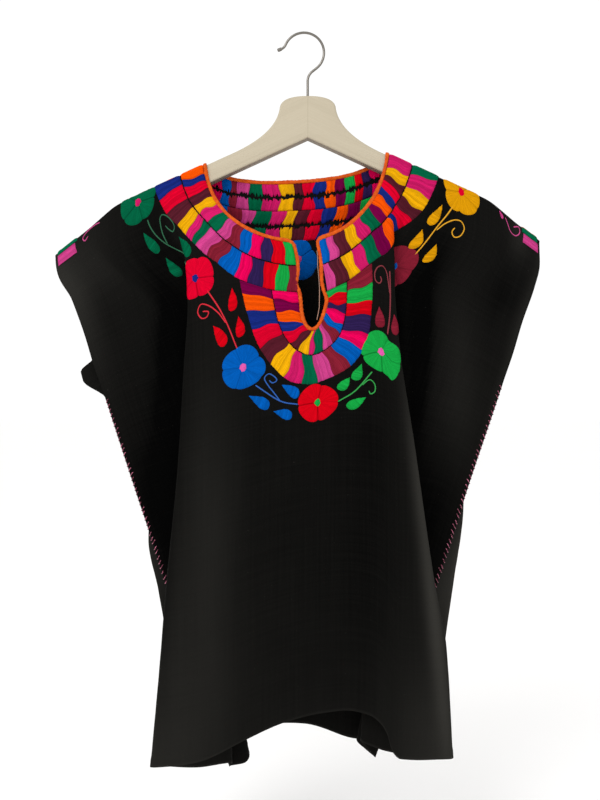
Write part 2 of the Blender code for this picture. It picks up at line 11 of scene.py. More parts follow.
import bmesh
import bpy
import numpy as np
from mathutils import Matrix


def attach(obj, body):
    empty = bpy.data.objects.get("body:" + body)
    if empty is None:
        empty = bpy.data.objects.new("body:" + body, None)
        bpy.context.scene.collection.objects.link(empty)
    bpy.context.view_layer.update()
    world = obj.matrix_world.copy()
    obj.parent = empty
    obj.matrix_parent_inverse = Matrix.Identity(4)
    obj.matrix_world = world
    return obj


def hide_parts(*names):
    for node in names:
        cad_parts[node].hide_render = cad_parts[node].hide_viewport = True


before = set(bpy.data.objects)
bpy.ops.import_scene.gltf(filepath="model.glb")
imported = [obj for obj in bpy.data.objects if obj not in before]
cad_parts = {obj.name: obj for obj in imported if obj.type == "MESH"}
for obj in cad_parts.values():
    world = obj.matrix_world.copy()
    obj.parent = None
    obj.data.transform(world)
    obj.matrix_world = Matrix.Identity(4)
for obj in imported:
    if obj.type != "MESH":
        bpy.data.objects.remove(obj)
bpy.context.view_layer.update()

# ---------------------------------------------------------------- the room
# A seamless pale floor under the blouse, white surroundings, and one large soft lamp above and in
# front. The camera stands level with the middle of the hanger and blouse together.

MM = 0.001
IMAGE_HEIGHT = 800
MM_PER_PIXEL = 1.18
CAMERA_BACK = 1300.0
CAMERA_X = -4.72
CAMERA_Z = -431.9
SENSOR = 36.0
FLOOR_Z = -980.0


def linear(hex_colour):
    """An sRGB hex colour as linear red, green, blue and a full alpha."""
    parts = [int(hex_colour[i:i + 2], 16) / 255 for i in (0, 2, 4)]
    return tuple(c / 12.92 if c <= 0.04045 else ((c + 0.055) / 1.055) ** 2.4 for c in parts) + (1.0,)


def add(tree, kind, inputs=None, **settings):
    """One node with its settings. An input is a value, or the socket that feeds it."""
    node = tree.nodes.new("ShaderNode" + kind)
    for name, value in settings.items():
        setattr(node, name, value)
    for name, value in (inputs or {}).items():
        if isinstance(value, bpy.types.NodeSocket):
            tree.links.new(value, node.inputs[name])
        else:
            node.inputs[name].default_value = value
    return node


def new_material(name):
    mat = bpy.data.materials.new(name)
    mat.use_nodes = True
    return mat, mat.node_tree, mat.node_tree.nodes["Principled BSDF"]


# Painted board: white emulsion, rolled, so the colour is even and only very softly mottled.
floor_paint, tree, shader = new_material("white emulsion paint")
place = add(tree, "TexCoord").outputs["Object"]
mottle = add(tree, "TexNoise", {"Vector": place, "Scale": 3.0, "Detail": 3.0}).outputs["Fac"]
paint = add(tree, "Mix", {0: mottle, 6: linear("FAF9F8"), 7: linear("FEFDFC")}, data_type="RGBA")
tree.links.new(paint.outputs[2], shader.inputs["Base Color"])
shader.inputs["Roughness"].default_value = 0.9

bpy.ops.object.select_all(action="DESELECT")
bpy.ops.mesh.primitive_plane_add(size=60.0, location=(0.0, 0.0, FLOOR_Z * MM))
floor = bpy.context.object
floor.name = "floor"
bpy.ops.object.transform_apply(location=True, rotation=True, scale=True)
floor.data.materials.append(floor_paint)

world = bpy.data.worlds.new("white room")
world.use_nodes = True
world.node_tree.nodes["Background"].inputs["Color"].default_value = (1.0, 1.0, 1.0, 1.0)
world.node_tree.nodes["Background"].inputs["Strength"].default_value = 1.04
bpy.context.scene.world = world
bpy.context.scene.view_settings.view_transform = "Standard"

lamp_data = bpy.data.lights.new("soft lamp", "AREA")
lamp_data.shape = "DISK"
lamp_data.size = 1.5
lamp_data.energy = 28.0
lamp = bpy.data.objects.new("soft lamp", lamp_data)
lamp.location = (-1.1, -1.9, 1.1)
lamp.rotation_euler = (math.radians(52), 0.0, math.radians(-30))
bpy.context.scene.collection.objects.link(lamp)

camera_data = bpy.data.cameras.new("camera")
camera_data.sensor_width = SENSOR
camera_data.lens = SENSOR * CAMERA_BACK / MM_PER_PIXEL / IMAGE_HEIGHT
camera = bpy.data.objects.new("camera", camera_data)
camera.location = (CAMERA_X * MM, -CAMERA_BACK * MM, CAMERA_Z * MM)
camera.rotation_euler = (math.radians(90), 0.0, 0.0)
bpy.context.scene.collection.objects.link(camera)
bpy.context.scene.camera = camera

# ---------------------------------------------------------------- the front
# Half of a hand-loomed black cotton cloth, cut straight, with a round neck and a slit. It lies over
# the hanger's arm and hangs in one deep fold on each side, with softer creases between them.

# The flat cut, and its neck and slit
HALF_WIDTH = 314.0
LENGTH = 650.0
WALL = 1.6
NECK_HALF = 105.5
NECK_DROP = {"front": 107.0, "back": 31.0}
NECK_ROUNDNESS = {"front": 2.0, "back": 2.3}
SLIT_HALF = 11.7
SLIT_TAPER_FROM = 171.0
SLIT_END = 210.0
SLIT_CORNER = 10.0
SLIT_CORNER_DEPTH = 0.75

# The hanger's arms, which carry it
WOOD_X = 4.4
WOOD_HALF_THICK = 10.0
WOOD_GAP = 0.45
ARM_SLOPE = 0.46
ARM_TOP_AT_AXIS = -101.9

# The shoulder line, where the cloth lies along the top of the hanger and falls past its arm ends
CLOTH_LIFT = (WOOD_GAP + WALL / 2) * math.hypot(1.0, ARM_SLOPE)
NECK_LEFT_X = -114.7
NECK_RIGHT_X = 96.2
NECK_CENTRE_X = (NECK_LEFT_X + NECK_RIGHT_X) / 2
SLEEVE_START = {-1: 224.0, 1: 211.5}
SLEEVE_SLOPE = {-1: 0.80, 1: 0.77}
RIDGE_HALF = WOOD_HALF_THICK + WOOD_GAP + WALL / 2
RIDGE_BEND = 3.6
SLEEVE_RIDGE_HALF = 4.5
OFF_ARM = (4.0, 50.0)
DEPTH_HANGS = (34.0, 92.0)
WIDTH_HANGS = (45.0, 135.0)
SLEEVE_HANGS = (5.0, 62.0)

# The centre line of each panel, at each distance t down from the shoulder fold
Spine = namedtuple("Spine", "t x y")
SPINE = {
    "front": (
        Spine(0, -9, -16),
        Spine(110, 3.5, -25),
        Spine(170, 9, -28),
        Spine(215, 10, -30),
        Spine(300, 12.5, -35),
        Spine(460, 12, -44),
        Spine(650, 11.5, -51),
    ),
    "back": (
        Spine(0, -9, 14),
        Spine(110, -4, 17),
        Spine(215, 3, 23),
        Spine(300, 6, 29),
        Spine(460, 9, 38),
        Spine(650, 11, 45),
    ),
}

# The fold at each side of each panel: the fold edge, how far the panel waves between its centre line
# and that edge, the depth of the valley behind it, and the depth of the middle of the wing
Fold = namedtuple("Fold", "t fold_x fold_y wave valley_y wing_y")
FOLDS = {
    ("front", -1): (
        Fold(0, -135, -24, 0, -11, -11.5),
        Fold(90, -134, -28, 0.5, -12, -13.5),
        Fold(150, -134, -31, 1, -12.5, -14),
        Fold(220, -138.5, -33, 1.5, -13, -9.5),
        Fold(320, -144.5, -38, 2.5, -12.5, -8),
        Fold(465, -159, -43, 3.5, -12, -7),
        Fold(530, -164.3, -45, 4, -11, -6),
        Fold(650, -175.6, -46, 5.5, -10, -5),
    ),
    ("front", 1): (
        Fold(0, 110, -24, 0, -11, -11.5),
        Fold(90, 105, -28, -0.5, -12, -13.5),
        Fold(150, 104.5, -31, -1, -12.5, -14),
        Fold(220, 110, -33, -1.5, -13, -9.5),
        Fold(320, 126.5, -38, -2, -12.5, -8),
        Fold(465, 149.5, -43, 3, -12, -7),
        Fold(530, 162.5, -45, 4.5, -11, -6),
        Fold(650, 170, -46, 7.5, -10, -5),
    ),
    ("back", -1): (
        Fold(0, -135, 24, 0, 11, 11.5),
        Fold(90, -142, 27, -1, 12, 13.5),
        Fold(150, -152, 29, -2, 12.5, 14),
        Fold(220, -165, 31, -3, 13, 9.5),
        Fold(320, -179, 34, -5, 12.5, 8),
        Fold(405, -187.5, 37, -7, 12, 7),
        Fold(465, -176, 40, -9, 12, 7),
        Fold(530, -165, 42, -13, 11, 6),
        Fold(650, -150, 45, -18, 10, 5),
    ),
    ("back", 1): (
        Fold(0, 122, 24, 0, 11, 11.5),
        Fold(90, 135, 27, 1, 12, 13.5),
        Fold(150, 148, 29, 1.5, 12.5, 14),
        Fold(220, 164, 31, 2.5, 13, 9.5),
        Fold(320, 184, 33, 4, 12.5, 8),
        Fold(372, 192.3, 36, 5, 12, 7),
        Fold(465, 180.5, 40, 8, 12, 7),
        Fold(530, 171, 42, 13, 11, 6),
        Fold(650, 160, 45, 18, 10, 5),
    ),
}
FOLD_NOSE = 0.42
VALLEY_NOSE = 0.60
VALLEY_INSIDE_FOLD = 8.0
VALLEY_PAST_EDGE = 10.0
WAVE_REACH = 22.0
FOLD_REACH = 8.0

# The outer edge of both panels: the open sleeve edges down to the armhole's end, then the side seam
Edge = namedtuple("Edge", "t left_x right_x half_gap")
SEAM_HALF_GAP = 1.05
ARMHOLE_END = 185.0
EDGES = (
    Edge(0, -290.5, 278.5, SLEEVE_RIDGE_HALF),
    Edge(30, -284, 277, 8),
    Edge(60, -272, 270.5, 11),
    Edge(110, -255, 254, 13),
    Edge(145, -246, 245, 9),
    Edge(ARMHOLE_END, -234, 233.5, SEAM_HALF_GAP),
    Edge(310, -196, 194, SEAM_HALF_GAP),
    Edge(355, -182, 180.5, SEAM_HALF_GAP),
    Edge(430, -159.5, 157.6, SEAM_HALF_GAP),
    Edge(LENGTH, -87.3, 83.8, SEAM_HALF_GAP),
)

# The back's left sleeve edge droops out past the front's just above the armhole's end
LOBE_MIDDLE = 157.5
LOBE_HALF_LENGTH = 27.0
LOBE_OUT = 21.0

# The height of each hem along the cloth
Hem = namedtuple("Hem", "s z")
HEMS = {
    "front": (
        Hem(-HALF_WIDTH, -863.8),
        Hem(-292, -852),
        Hem(-250, -856.5),
        Hem(-180, -850),
        Hem(-152, -846.8),
        Hem(-127, -841.2),
        Hem(-79, -819.4),
        Hem(-28, -796.7),
        Hem(6, -787.7),
        Hem(35, -785.4),
        Hem(63, -790.5),
        Hem(76, -799),
        Hem(84, -811),
        Hem(90, -831),
        Hem(99, -838.5),
        Hem(160, -840.5),
        Hem(215, -843),
        Hem(250, -838),
        Hem(285, -828),
        Hem(HALF_WIDTH, -853.2),
    ),
    "back": (
        Hem(-HALF_WIDTH, -863.8),
        Hem(-298, -863),
        Hem(-285, -857),
        Hem(-270, -850),
        Hem(-180, -852),
        Hem(-75, -835),
        Hem(-10, -828),
        Hem(60, -842),
        Hem(175, -850),
        Hem(285, -838),
        Hem(HALF_WIDTH, -853.2),
    ),
}
OUTWARD = {"front": -1.0, "back": 1.0}


def read(rows, column, at):
    """Value of a table's column at each place, on a smooth curve that never overshoots its rows."""
    places = np.array([row[0] for row in rows], float)
    values = np.array([getattr(row, column) for row in rows], float)
    steps = np.diff(values) / np.diff(places)
    slopes = np.concatenate([steps[:1], np.zeros(len(steps) - 1), steps[-1:]])
    before, after = steps[:-1], steps[1:]
    same_way = before * after > 0
    slopes[1:-1][same_way] = (2 * before * after)[same_way] / (before + after)[same_way]
    k = np.clip(np.searchsorted(places, at, side="right") - 1, 0, len(places) - 2)
    span = places[k + 1] - places[k]
    u = np.clip((at - places[k]) / span, 0.0, 1.0)
    rise = u * u * (3 - 2 * u)
    start = values[k] * (1 - rise) + span * slopes[k] * u * (1 - u) ** 2
    return start + values[k + 1] * rise - span * slopes[k + 1] * u * u * (1 - u)


def ramp(distance, reach):
    """Zero before a corner and the distance past it, with a soft bend that reaches each way."""
    bend = (distance + reach) ** 2 / (4 * reach)
    return np.where(distance <= -reach, 0.0, np.where(distance >= reach, distance, bend))


def smooth_step(value, low, high):
    u = np.clip((value - low) / (high - low), 0.0, 1.0)
    return u * u * (3 - 2 * u)


def lengths_between(stations):
    return [np.hypot(b[0] - a[0], b[1] - a[1]) for a, b in zip(stations, stations[1:])]


def soft_path(stations, reaches, along):
    """Point at a distance along a line of straight stretches whose corners are softly bent."""
    spans = lengths_between(stations)
    ways = [((b[0] - a[0]) / d, (b[1] - a[1]) / d) for a, b, d in zip(stations, stations[1:], spans)]
    start = ramp(along, reaches[0])
    first = stations[0][0] + ways[0][0] * start
    second = stations[0][1] + ways[0][1] * start
    passed = 0.0
    for i, reach in enumerate(reaches[1:]):
        passed = passed + spans[i]
        reach = np.minimum(reach, 0.48 * np.minimum(spans[i], spans[i + 1]))
        turn = ramp(along - passed, reach)
        first = first + (ways[i + 1][0] - ways[i][0]) * turn
        second = second + (ways[i + 1][1] - ways[i][1]) * turn
    return first, second


def arm_top(x):
    """Height of the straight top of the hanger's arms at a place across it."""
    return ARM_TOP_AT_AXIS - ARM_SLOPE * abs(x - WOOD_X)


def shoulder_stations(side):
    """Centre, neck point, arm end and sleeve end of the shoulder line on one side."""
    neck_x = NECK_LEFT_X if side < 0 else NECK_RIGHT_X
    neck_z = arm_top(neck_x) + CLOTH_LIFT
    centre_z = (arm_top(NECK_LEFT_X) + arm_top(NECK_RIGHT_X)) / 2 + CLOTH_LIFT
    arm_x = WOOD_X + side * SLEEVE_START[side]
    arm_z = arm_top(arm_x) + CLOTH_LIFT
    used = math.hypot(neck_x - NECK_CENTRE_X, neck_z - centre_z) + math.hypot(arm_x - neck_x, arm_z - neck_z)
    slope = SLEEVE_SLOPE[side]
    run = (HALF_WIDTH - used) / math.hypot(1.0, slope)
    sleeve_end = (arm_x + side * run, arm_z - slope * run)
    return [(NECK_CENTRE_X, centre_z), (neck_x, neck_z), (arm_x, arm_z), sleeve_end]


def shoulder_line(side, across):
    """Place of the fold over the hanger, half the cloth's depth there, and how far past the arm it is."""
    stations = shoulder_stations(side)
    x, z = soft_path(stations, (0.01, 0.5, 8.0), across)
    arm_end = sum(lengths_between(stations)[:2])
    off_arm = smooth_step(across, arm_end + OFF_ARM[0], arm_end + OFF_ARM[1])
    half_depth = RIDGE_HALF + (SLEEVE_RIDGE_HALF - RIDGE_HALF) * off_arm
    return x, z, half_depth, off_arm


def half_section(panel, side, t):
    """Stations of one half of the panel's section at t, from its centre line out to its edge."""
    spine, folds = SPINE[panel], FOLDS[panel, side]
    outward = OUTWARD[panel]
    centre = (read(spine, "x", t), read(spine, "y", t))
    fold_x, fold_y = read(folds, "fold_x", t), read(folds, "fold_y", t)
    valley_y, wing_y = read(folds, "valley_y", t), read(folds, "wing_y", t)
    wave = outward * read(folds, "wave", t)
    edge_x = read(EDGES, "left_x" if side < 0 else "right_x", t)
    edge_y = outward * read(EDGES, "half_gap", t)
    if (panel, side) == ("back", -1):
        from_end = LOBE_HALF_LENGTH - np.abs(t - LOBE_MIDDLE)
        edge_x = edge_x - LOBE_OUT * smooth_step(from_end, 0.0, 0.8 * LOBE_HALF_LENGTH)

    def across(share, push):
        return (centre[0] + share * (fold_x - centre[0]), centre[1] + share * (fold_y - centre[1]) + push)

    middle = [centre, across(0.33, -wave), across(0.67, wave), (fold_x, fold_y)]
    nose_y = fold_y + FOLD_NOSE * (valley_y - fold_y)
    turn_y = fold_y + VALLEY_NOSE * (valley_y - fold_y)
    used = sum(lengths_between(middle)) + abs(nose_y - fold_y) + abs(valley_y - turn_y)
    left_over = HALF_WIDTH - used
    fold_out, edge_out = side * fold_x, side * edge_x
    furthest_out = np.minimum(fold_out - VALLEY_INSIDE_FOLD, edge_out + VALLEY_PAST_EDGE)
    valley_out = np.minimum((fold_out + edge_out - left_over) / 2, furthest_out)
    valley_x = side * valley_out
    wing = ((valley_x + edge_x) / 2, wing_y)
    return middle + [(fold_x, nose_y), (valley_x, turn_y), (valley_x, valley_y), wing, (edge_x, edge_y)]


SECTION_REACHES = (WAVE_REACH,) * 3 + (FOLD_REACH,) * 4 + (WAVE_REACH,)


def section(panel, s, t):
    """Place across and depth of the hanging panel at (s, t), below the hanger."""
    x = read(SPINE[panel], "x", t)
    y = read(SPINE[panel], "y", t)
    centre = (x, y)
    for side in (-1, 1):
        stations = half_section(panel, side, t)
        fit = sum(lengths_between(stations)) / HALF_WIDTH
        path_x, path_y = soft_path(stations, SECTION_REACHES, side * s * fit)
        x = x + path_x - centre[0]
        y = y + path_y - centre[1]
    return x, y


def hung(t, stretch, off_arm):
    """How far the cloth has left the hanger's form for its own, which starts sooner past the arm."""
    low, high = (a + (b - a) * off_arm for a, b in zip(stretch, SLEEVE_HANGS))
    return smooth_step(t, low, high)


def drape(panel, s, t):
    """Points in space of the middle of the panel's wall, for arrays of cloth coordinates."""
    s, t = np.broadcast_arrays(np.asarray(s, float), np.asarray(t, float))
    left, right = shoulder_line(-1, np.abs(s)), shoulder_line(1, np.abs(s))
    ridge_x, ridge_z, ridge_half, off_arm = (np.where(s < 0, a, b) for a, b in zip(left, right))
    down = ramp(t - ridge_half, RIDGE_BEND)
    hem_z = read(HEMS[panel], "z", s)
    z = ridge_z - down * (ridge_z - hem_z) / (LENGTH - ridge_half)
    ridge_y = OUTWARD[panel] * (t - down)
    pleated_x, pleated_y = section(panel, s, t)
    x = ridge_x + (pleated_x - ridge_x) * hung(t, WIDTH_HANGS, off_arm)
    y = ridge_y + (pleated_y - ridge_y) * hung(t, DEPTH_HANGS, off_arm)
    return np.stack([x, y, z], axis=-1)


def surface(panel, s, t, lift):
    """Points lifted off the middle of the wall, outwards where the lift is positive."""
    step = 0.4
    run_s = drape(panel, s + step, t) - drape(panel, s - step, t)
    run_t = drape(panel, s, t + step) - drape(panel, s, t - step)
    normal = np.cross(run_s, run_t) * OUTWARD[panel]
    normal /= np.linalg.norm(normal, axis=-1, keepdims=True)
    return drape(panel, s, t) + normal * np.asarray(lift, float)[..., None]


NECK_SWEEP = {"front": 79, "back": 81}
NECK_STEPS = 40

# The slit's cut edges waver: how far each goes outwards, at each distance down from the shoulder fold
Waver = namedtuple("Waver", "t left right")
SLIT_WAVERS = (
    Waver(100, 0.0, 0.0), Waver(131, -0.5, -0.5), Waver(141, 0.0, -0.8), Waver(150, 2.2, -1.6),
    Waver(158, 3.6, -1.8), Waver(164, 1.4, -1.1), Waver(171, -0.1, 0.4), Waver(180, -0.6, 3.4),
    Waver(190, 0.2, 2.4), Waver(200, 0.8, 1.5), Waver(214, 0.0, 0.0),
)


def slit_waver(side, t):
    return read(SLIT_WAVERS, "left" if side < 0 else "right", np.asarray(t, float))


def neck_curve(panel, side):
    """Points of the neck's oval on one side, from the shoulder fold round to near the centre line."""
    power = 2 / NECK_ROUNDNESS[panel]
    sweep = [math.radians(NECK_SWEEP[panel]) * i / NECK_STEPS for i in range(NECK_STEPS + 1)]
    return [(side * NECK_HALF * math.cos(a) ** power, NECK_DROP[panel] * math.sin(a) ** power) for a in sweep]


def front_neck_half(side):
    """Front opening on one side, from the shoulder round the neck and down to the slit's end."""
    corner_s = side * SLIT_HALF
    near = [p for p in neck_curve("front", side) if abs(p[0]) > SLIT_HALF + SLIT_CORNER]
    start = near[-1]
    corner = (corner_s, start[1] + (NECK_DROP["front"] - start[1]) * SLIT_CORNER_DEPTH)
    end = (corner_s, corner[1] + SLIT_CORNER)
    bend = []
    for u in np.linspace(0.1, 1.0, 10):
        weights = ((1 - u) ** 2, 2 * u * (1 - u), u * u)
        bend.append(tuple(sum(w * p[i] for w, p in zip(weights, (start, corner, end))) for i in (0, 1)))
    straight = [(corner_s, end[1] + (SLIT_TAPER_FROM - end[1]) * u) for u in np.linspace(0.05, 1.0, 20)]
    taper = SLIT_END - SLIT_TAPER_FROM
    tip = [
        (corner_s * math.cos(math.radians(a)), SLIT_TAPER_FROM + taper * math.sin(math.radians(a)))
        for a in range(6, 88, 6)
    ]
    slit = [(s + side * float(slit_waver(side, t)) * abs(s) / SLIT_HALF, t) for s, t in bend + straight + tip]
    return near + slit


def neck_outline(panel):
    """The opening's edge from the left shoulder to the right, as points of the flat cloth."""
    if panel == "front":
        return front_neck_half(-1) + [(0.0, SLIT_END)] + front_neck_half(1)[::-1]
    return neck_curve("back", -1) + [(0.0, NECK_DROP["back"])] + neck_curve("back", 1)[::-1]


def moved_out(outline, distance):
    """The outline moved into the cloth by a distance, square to itself, its ends kept on the fold."""
    points = np.array(outline)
    ways = np.gradient(points, axis=0)
    ways[0] = ways[1] * (0, 1)
    ways[-1] = ways[-2] * (0, 1)
    ways /= np.linalg.norm(ways, axis=1, keepdims=True)
    return points + np.stack([-ways[:, 1], ways[:, 0]], axis=1) * distance


# Soft creases and ridges in the hanging cloth: from one cloth place to another, in millimetres
Crease = namedtuple("Crease", "s t s_end t_end half_width height")
CREASES = {
    "front": (
        Crease(-70, 285, -98, 470, 12, 1.9),
        Crease(-52, 300, -66, 520, 16, -2.2),
        Crease(-25, 330, -34, 610, 22, 1.7),
        Crease(36, 318, 52, 560, 17, -2.8),
        Crease(84, 250, 124, 500, 11, 2.2),
        Crease(66, 300, 92, 480, 12, -1.8),
        Crease(8, 420, 14, 640, 24, -1.4),
        Crease(-118, 190, -128, 420, 10, 1.6),
        Crease(-104, 430, -128, 640, 18, -1.7),
        Crease(104, 500, 122, 650, 15, 1.8),
        Crease(-262, 40, -205, 180, 15, 2.4),
        Crease(-292, 70, -248, 190, 10, -1.7),
        Crease(-230, 150, -262, 330, 14, -2.0),
        Crease(-205, 60, -215, 260, 16, -2.2),
        Crease(246, 34, 214, 190, 14, 2.6),
        Crease(282, 60, 240, 205, 10, -1.9),
        Crease(228, 150, 258, 330, 13, -2.2),
        Crease(196, 50, 205, 250, 14, -2.0),
        Crease(-20, 112, -78, 96, 5, 0.5),
        Crease(249, 20, 312, 39, 6, 1.3),
        Crease(-150, 560, -172, 640, 10, 0.9),
        Crease(30, 128, 88, 104, 5, 0.6),
    ),
    "back": (
        Crease(-96, 190, -120, 430, 13, 1.8),
        Crease(-60, 210, -74, 520, 18, -2.4),
        Crease(-12, 260, -20, 560, 22, 1.6),
        Crease(34, 200, 46, 470, 16, -2.3),
        Crease(82, 180, 112, 420, 12, 2.1),
        Crease(70, 400, 96, 640, 17, -1.8),
        Crease(-38, 480, -46, 650, 20, 1.5),
        Crease(-258, 44, -206, 190, 15, 2.2),
        Crease(-226, 160, -262, 340, 14, -2.0),
        Crease(250, 40, 216, 200, 14, 2.3),
        Crease(226, 170, 262, 340, 13, -2.0),
    ),
}
HEM_TURN = 11.0
HEM_STEP = 2.0
HEM_RISE = 0.45


def by_crease(crease, s, t):
    """A crease's height at each place: full along its middle, fading at its sides and its ends."""
    run_s, run_t = crease.s_end - crease.s, crease.t_end - crease.t
    length = math.hypot(run_s, run_t)
    along = ((s - crease.s) * run_s + (t - crease.t) * run_t) / length ** 2
    off = ((s - crease.s) * run_t - (t - crease.t) * run_s) / length
    taper = smooth_step(along, -0.12, 0.35) * (1 - smooth_step(along, 0.55, 1.12))
    return crease.height * taper * np.exp(-((off / crease.half_width) ** 2))


def creased(panel, s, t):
    """How far the creases and the turned hems push the cloth outwards at each place."""
    rise = sum(by_crease(crease, s, t) for crease in CREASES[panel])
    in_sleeve = HEM_RISE * smooth_step(np.abs(s), HALF_WIDTH - HEM_TURN, HALF_WIDTH - HEM_TURN + HEM_STEP)
    in_hem = HEM_RISE * smooth_step(t, LENGTH - HEM_TURN, LENGTH - HEM_TURN + HEM_STEP)
    return rise + np.maximum(in_sleeve, in_hem)


def on_cloth(panel, s, t, lift):
    """Points at a height over the creased cloth, in metres. A negative height is inside the blouse."""
    s, t, lift = np.broadcast_arrays(*(np.asarray(v, float) for v in (s, t, lift)))
    return surface(panel, s, t, creased(panel, s, t) + lift) * MM


# Painted light and shade on the cloth, each a soft patch round one place of it: a positive amount paints
# light and sheen, as at the hem corners and sleeve edges, and a negative one paints shade, as in the valleys
# behind the folds
Patch = namedtuple("Patch", "s t half_width half_length amount")
FULL_BLACK = 0.28
PAINTED_LIGHT_SHARE = 0.55
HEM_PAINTED_SHEEN = 0.4
PAINTED_LIGHT_PATCHES = {
    "front": (
        Patch(-185, 660, 75, 130, 0.65),
        Patch(160, 660, 60, 120, 0.75),
        Patch(-122, 440, 30, 170, 0.38),
        Patch(-158, 480, 14, 130, 0.20),
        Patch(0, 440, 70, 220, -0.08),
        Patch(62, 440, 32, 220, -0.13),
        Patch(-280, 340, 50, 120, -0.34),
        Patch(180, 300, 26, 260, -0.34),
        Patch(-175, 300, 24, 260, -0.34),
        Patch(268, 390, 50, 90, -0.30),
        Patch(-312, 60, 16, 90, 0.65),
        Patch(316, 110, 8, 100, 0.60),
        Patch(-290, 30, 45, 38, 0.42),
        Patch(286, 94, 18, 38, -0.14),
        Patch(285, 16, 17, 24, 0.55),
        Patch(0, 650, 120, 60, 0.06),
    ),
    "back": (
        Patch(-170, 660, 80, 120, 0.35),
        Patch(170, 660, 80, 120, 0.35),
        Patch(-312, 60, 16, 90, 0.45),
        Patch(312, 70, 18, 110, 0.45),
        Patch(0, 300, 90, 160, 0.10),
        Patch(193, 460, 24, 110, 1.50),
        Patch(-209, 420, 18, 80, 0.60),
    ),
}

# Long streaks of painted light along the folds' outsides, and of painted shade in the valleys behind them
LIGHT_AND_SHADE_STREAKS = {
    "front": (
        Crease(105, 225, 160, 690, 10, 1.45),
        Crease(-200, 70, -278, 350, 20, -0.45),
        Crease(196, 90, 250, 320, 12, -0.40),
        Crease(240, 105, 303, 320, 19, 0.24),
    ),
    "back": (),
}


# The painted light and shade at each place of the cloth: a base tone, the patches, a painted sheen along the
# hem, and the streaks
def painted_light_at(panel, s, t):
    patchy_tone_and_painted_light = np.full(np.shape(s), FULL_BLACK)
    for patch in PAINTED_LIGHT_PATCHES[panel]:
        off_s, off_t = (s - patch.s) / patch.half_width, (t - patch.t) / patch.half_length
        patchy_tone_and_painted_light += patch.amount * np.exp(-(off_s ** 2) - off_t ** 2)
    patchy_tone_and_painted_light += HEM_PAINTED_SHEEN * smooth_step(t, LENGTH - 2.5, LENGTH)
    for streak in LIGHT_AND_SHADE_STREAKS[panel]:
        patchy_tone_and_painted_light += by_crease(streak, s, t)
    return np.clip(PAINTED_LIGHT_SHARE * patchy_tone_and_painted_light, 0.0, 1.0)


# Cotton cloth, woven plain from hand-spun black yarn: a warm near-black, matt, with a faint bloom where
# it turns away, thicker and thinner yarns, and a little pale lint. Its yarns are 0.6 mm apart, too fine
# to show, so they are drawn 1.5 mm apart, as coarse as needed.
YARN_MM = 1.5
BLENDER_BAND = 0.31416
black_cotton, tree, shader = new_material("hand-woven black cotton")
cut = add(tree, "UVMap", uv_map="cut").outputs["UV"]
yarns = {"Vector": cut, "Scale": BLENDER_BAND / (YARN_MM * MM), "Distortion": 1.2, "Detail": 1.0}
across = add(tree, "TexWave", yarns, bands_direction="X")
down = add(tree, "TexWave", yarns, bands_direction="Y")
weave = add(tree, "Math", {0: across.outputs["Fac"], 1: down.outputs["Fac"]}, operation="ADD").outputs[0]
weft_way = add(tree, "Mapping", {"Vector": cut, "Scale": (9.0, 420.0, 1.0)}).outputs[0]
warp_way = add(tree, "Mapping", {"Vector": cut, "Scale": (420.0, 7.0, 1.0)}).outputs[0]
weft_slub = add(tree, "TexNoise", {"Vector": weft_way, "Scale": 1.0, "Detail": 2.0}).outputs["Fac"]
warp_slub = add(tree, "TexNoise", {"Vector": warp_way, "Scale": 1.0, "Detail": 2.0}).outputs["Fac"]
slub = add(tree, "Math", {0: weft_slub, 1: warp_slub}, operation="ADD").outputs[0]
cloud = add(tree, "TexNoise", {"Vector": cut, "Scale": 7.0, "Detail": 4.0}).outputs["Fac"]
uneven = add(tree, "Math", {0: slub, 1: cloud}, operation="ADD").outputs[0]
paler = {"Value": uneven, "From Min": 1.0, "From Max": 2.0, "To Min": -0.05, "To Max": 0.05}
uneven = add(tree, "MapRange", paler).outputs[0]
# The painted light and shade, read from the mesh's attribute, lightens or darkens the cloth's black
patchy_tone_and_painted_light = add(tree, "Attribute", attribute_name="patchy_tone_and_painted_light").outputs["Fac"]
tone = add(tree, "Math", {0: patchy_tone_and_painted_light, 1: uneven}, operation="ADD", use_clamp=True).outputs[0]
dyed = add(tree, "Mix", {0: tone, 6: linear("020202"), 7: linear("2F2E2B")}, data_type="RGBA").outputs[2]
fleck = add(tree, "TexNoise", {"Vector": cut, "Scale": 520.0, "Detail": 1.0}).outputs["Fac"]
lint = add(tree, "MapRange", {"Value": fleck, "From Min": 0.77, "From Max": 0.83, "To Max": 0.35}).outputs[0]
linted = add(tree, "Mix", {0: lint, 6: dyed, 7: linear("46443F")}, data_type="RGBA").outputs[2]
tree.links.new(linted, shader.inputs["Base Color"])
matt = {"Value": slub, "From Min": 0.6, "From Max": 1.4, "To Min": 0.82, "To Max": 0.98}
tree.links.new(add(tree, "MapRange", matt).outputs[0], shader.inputs["Roughness"])
shader.inputs["Specular IOR Level"].default_value = 0.02
shader.inputs["Sheen Weight"].default_value = 0.02
shader.inputs["Sheen Roughness"].default_value = 0.45
shader.inputs["Sheen Tint"].default_value = linear("C4C2B8")
height = add(tree, "Math", {0: weave, 1: slub}, operation="ADD").outputs[0]
bump = add(tree, "Bump", {"Height": height, "Strength": 0.35, "Distance": 0.0004})
tree.links.new(bump.outputs[0], shader.inputs["Normal"])

# The shell's thickness, how far it is cut back under the edging, and the grid that it is made on
CLOTH_THICK = 0.9
CUT_BACK = 3.0
CUT_BACK_REACH = 15
PAST_CUT = -1.5
AWAY_FROM_NECK = 99.0
COLUMNS = 200
ROW_STEP = 4.2
FIRST_ROWS = (0.0, 2.5, 5.0, 7.2, 8.8, 10.2, 11.4, 12.6, 14.0, 16.0, 18.5, 21.5, 25.0)


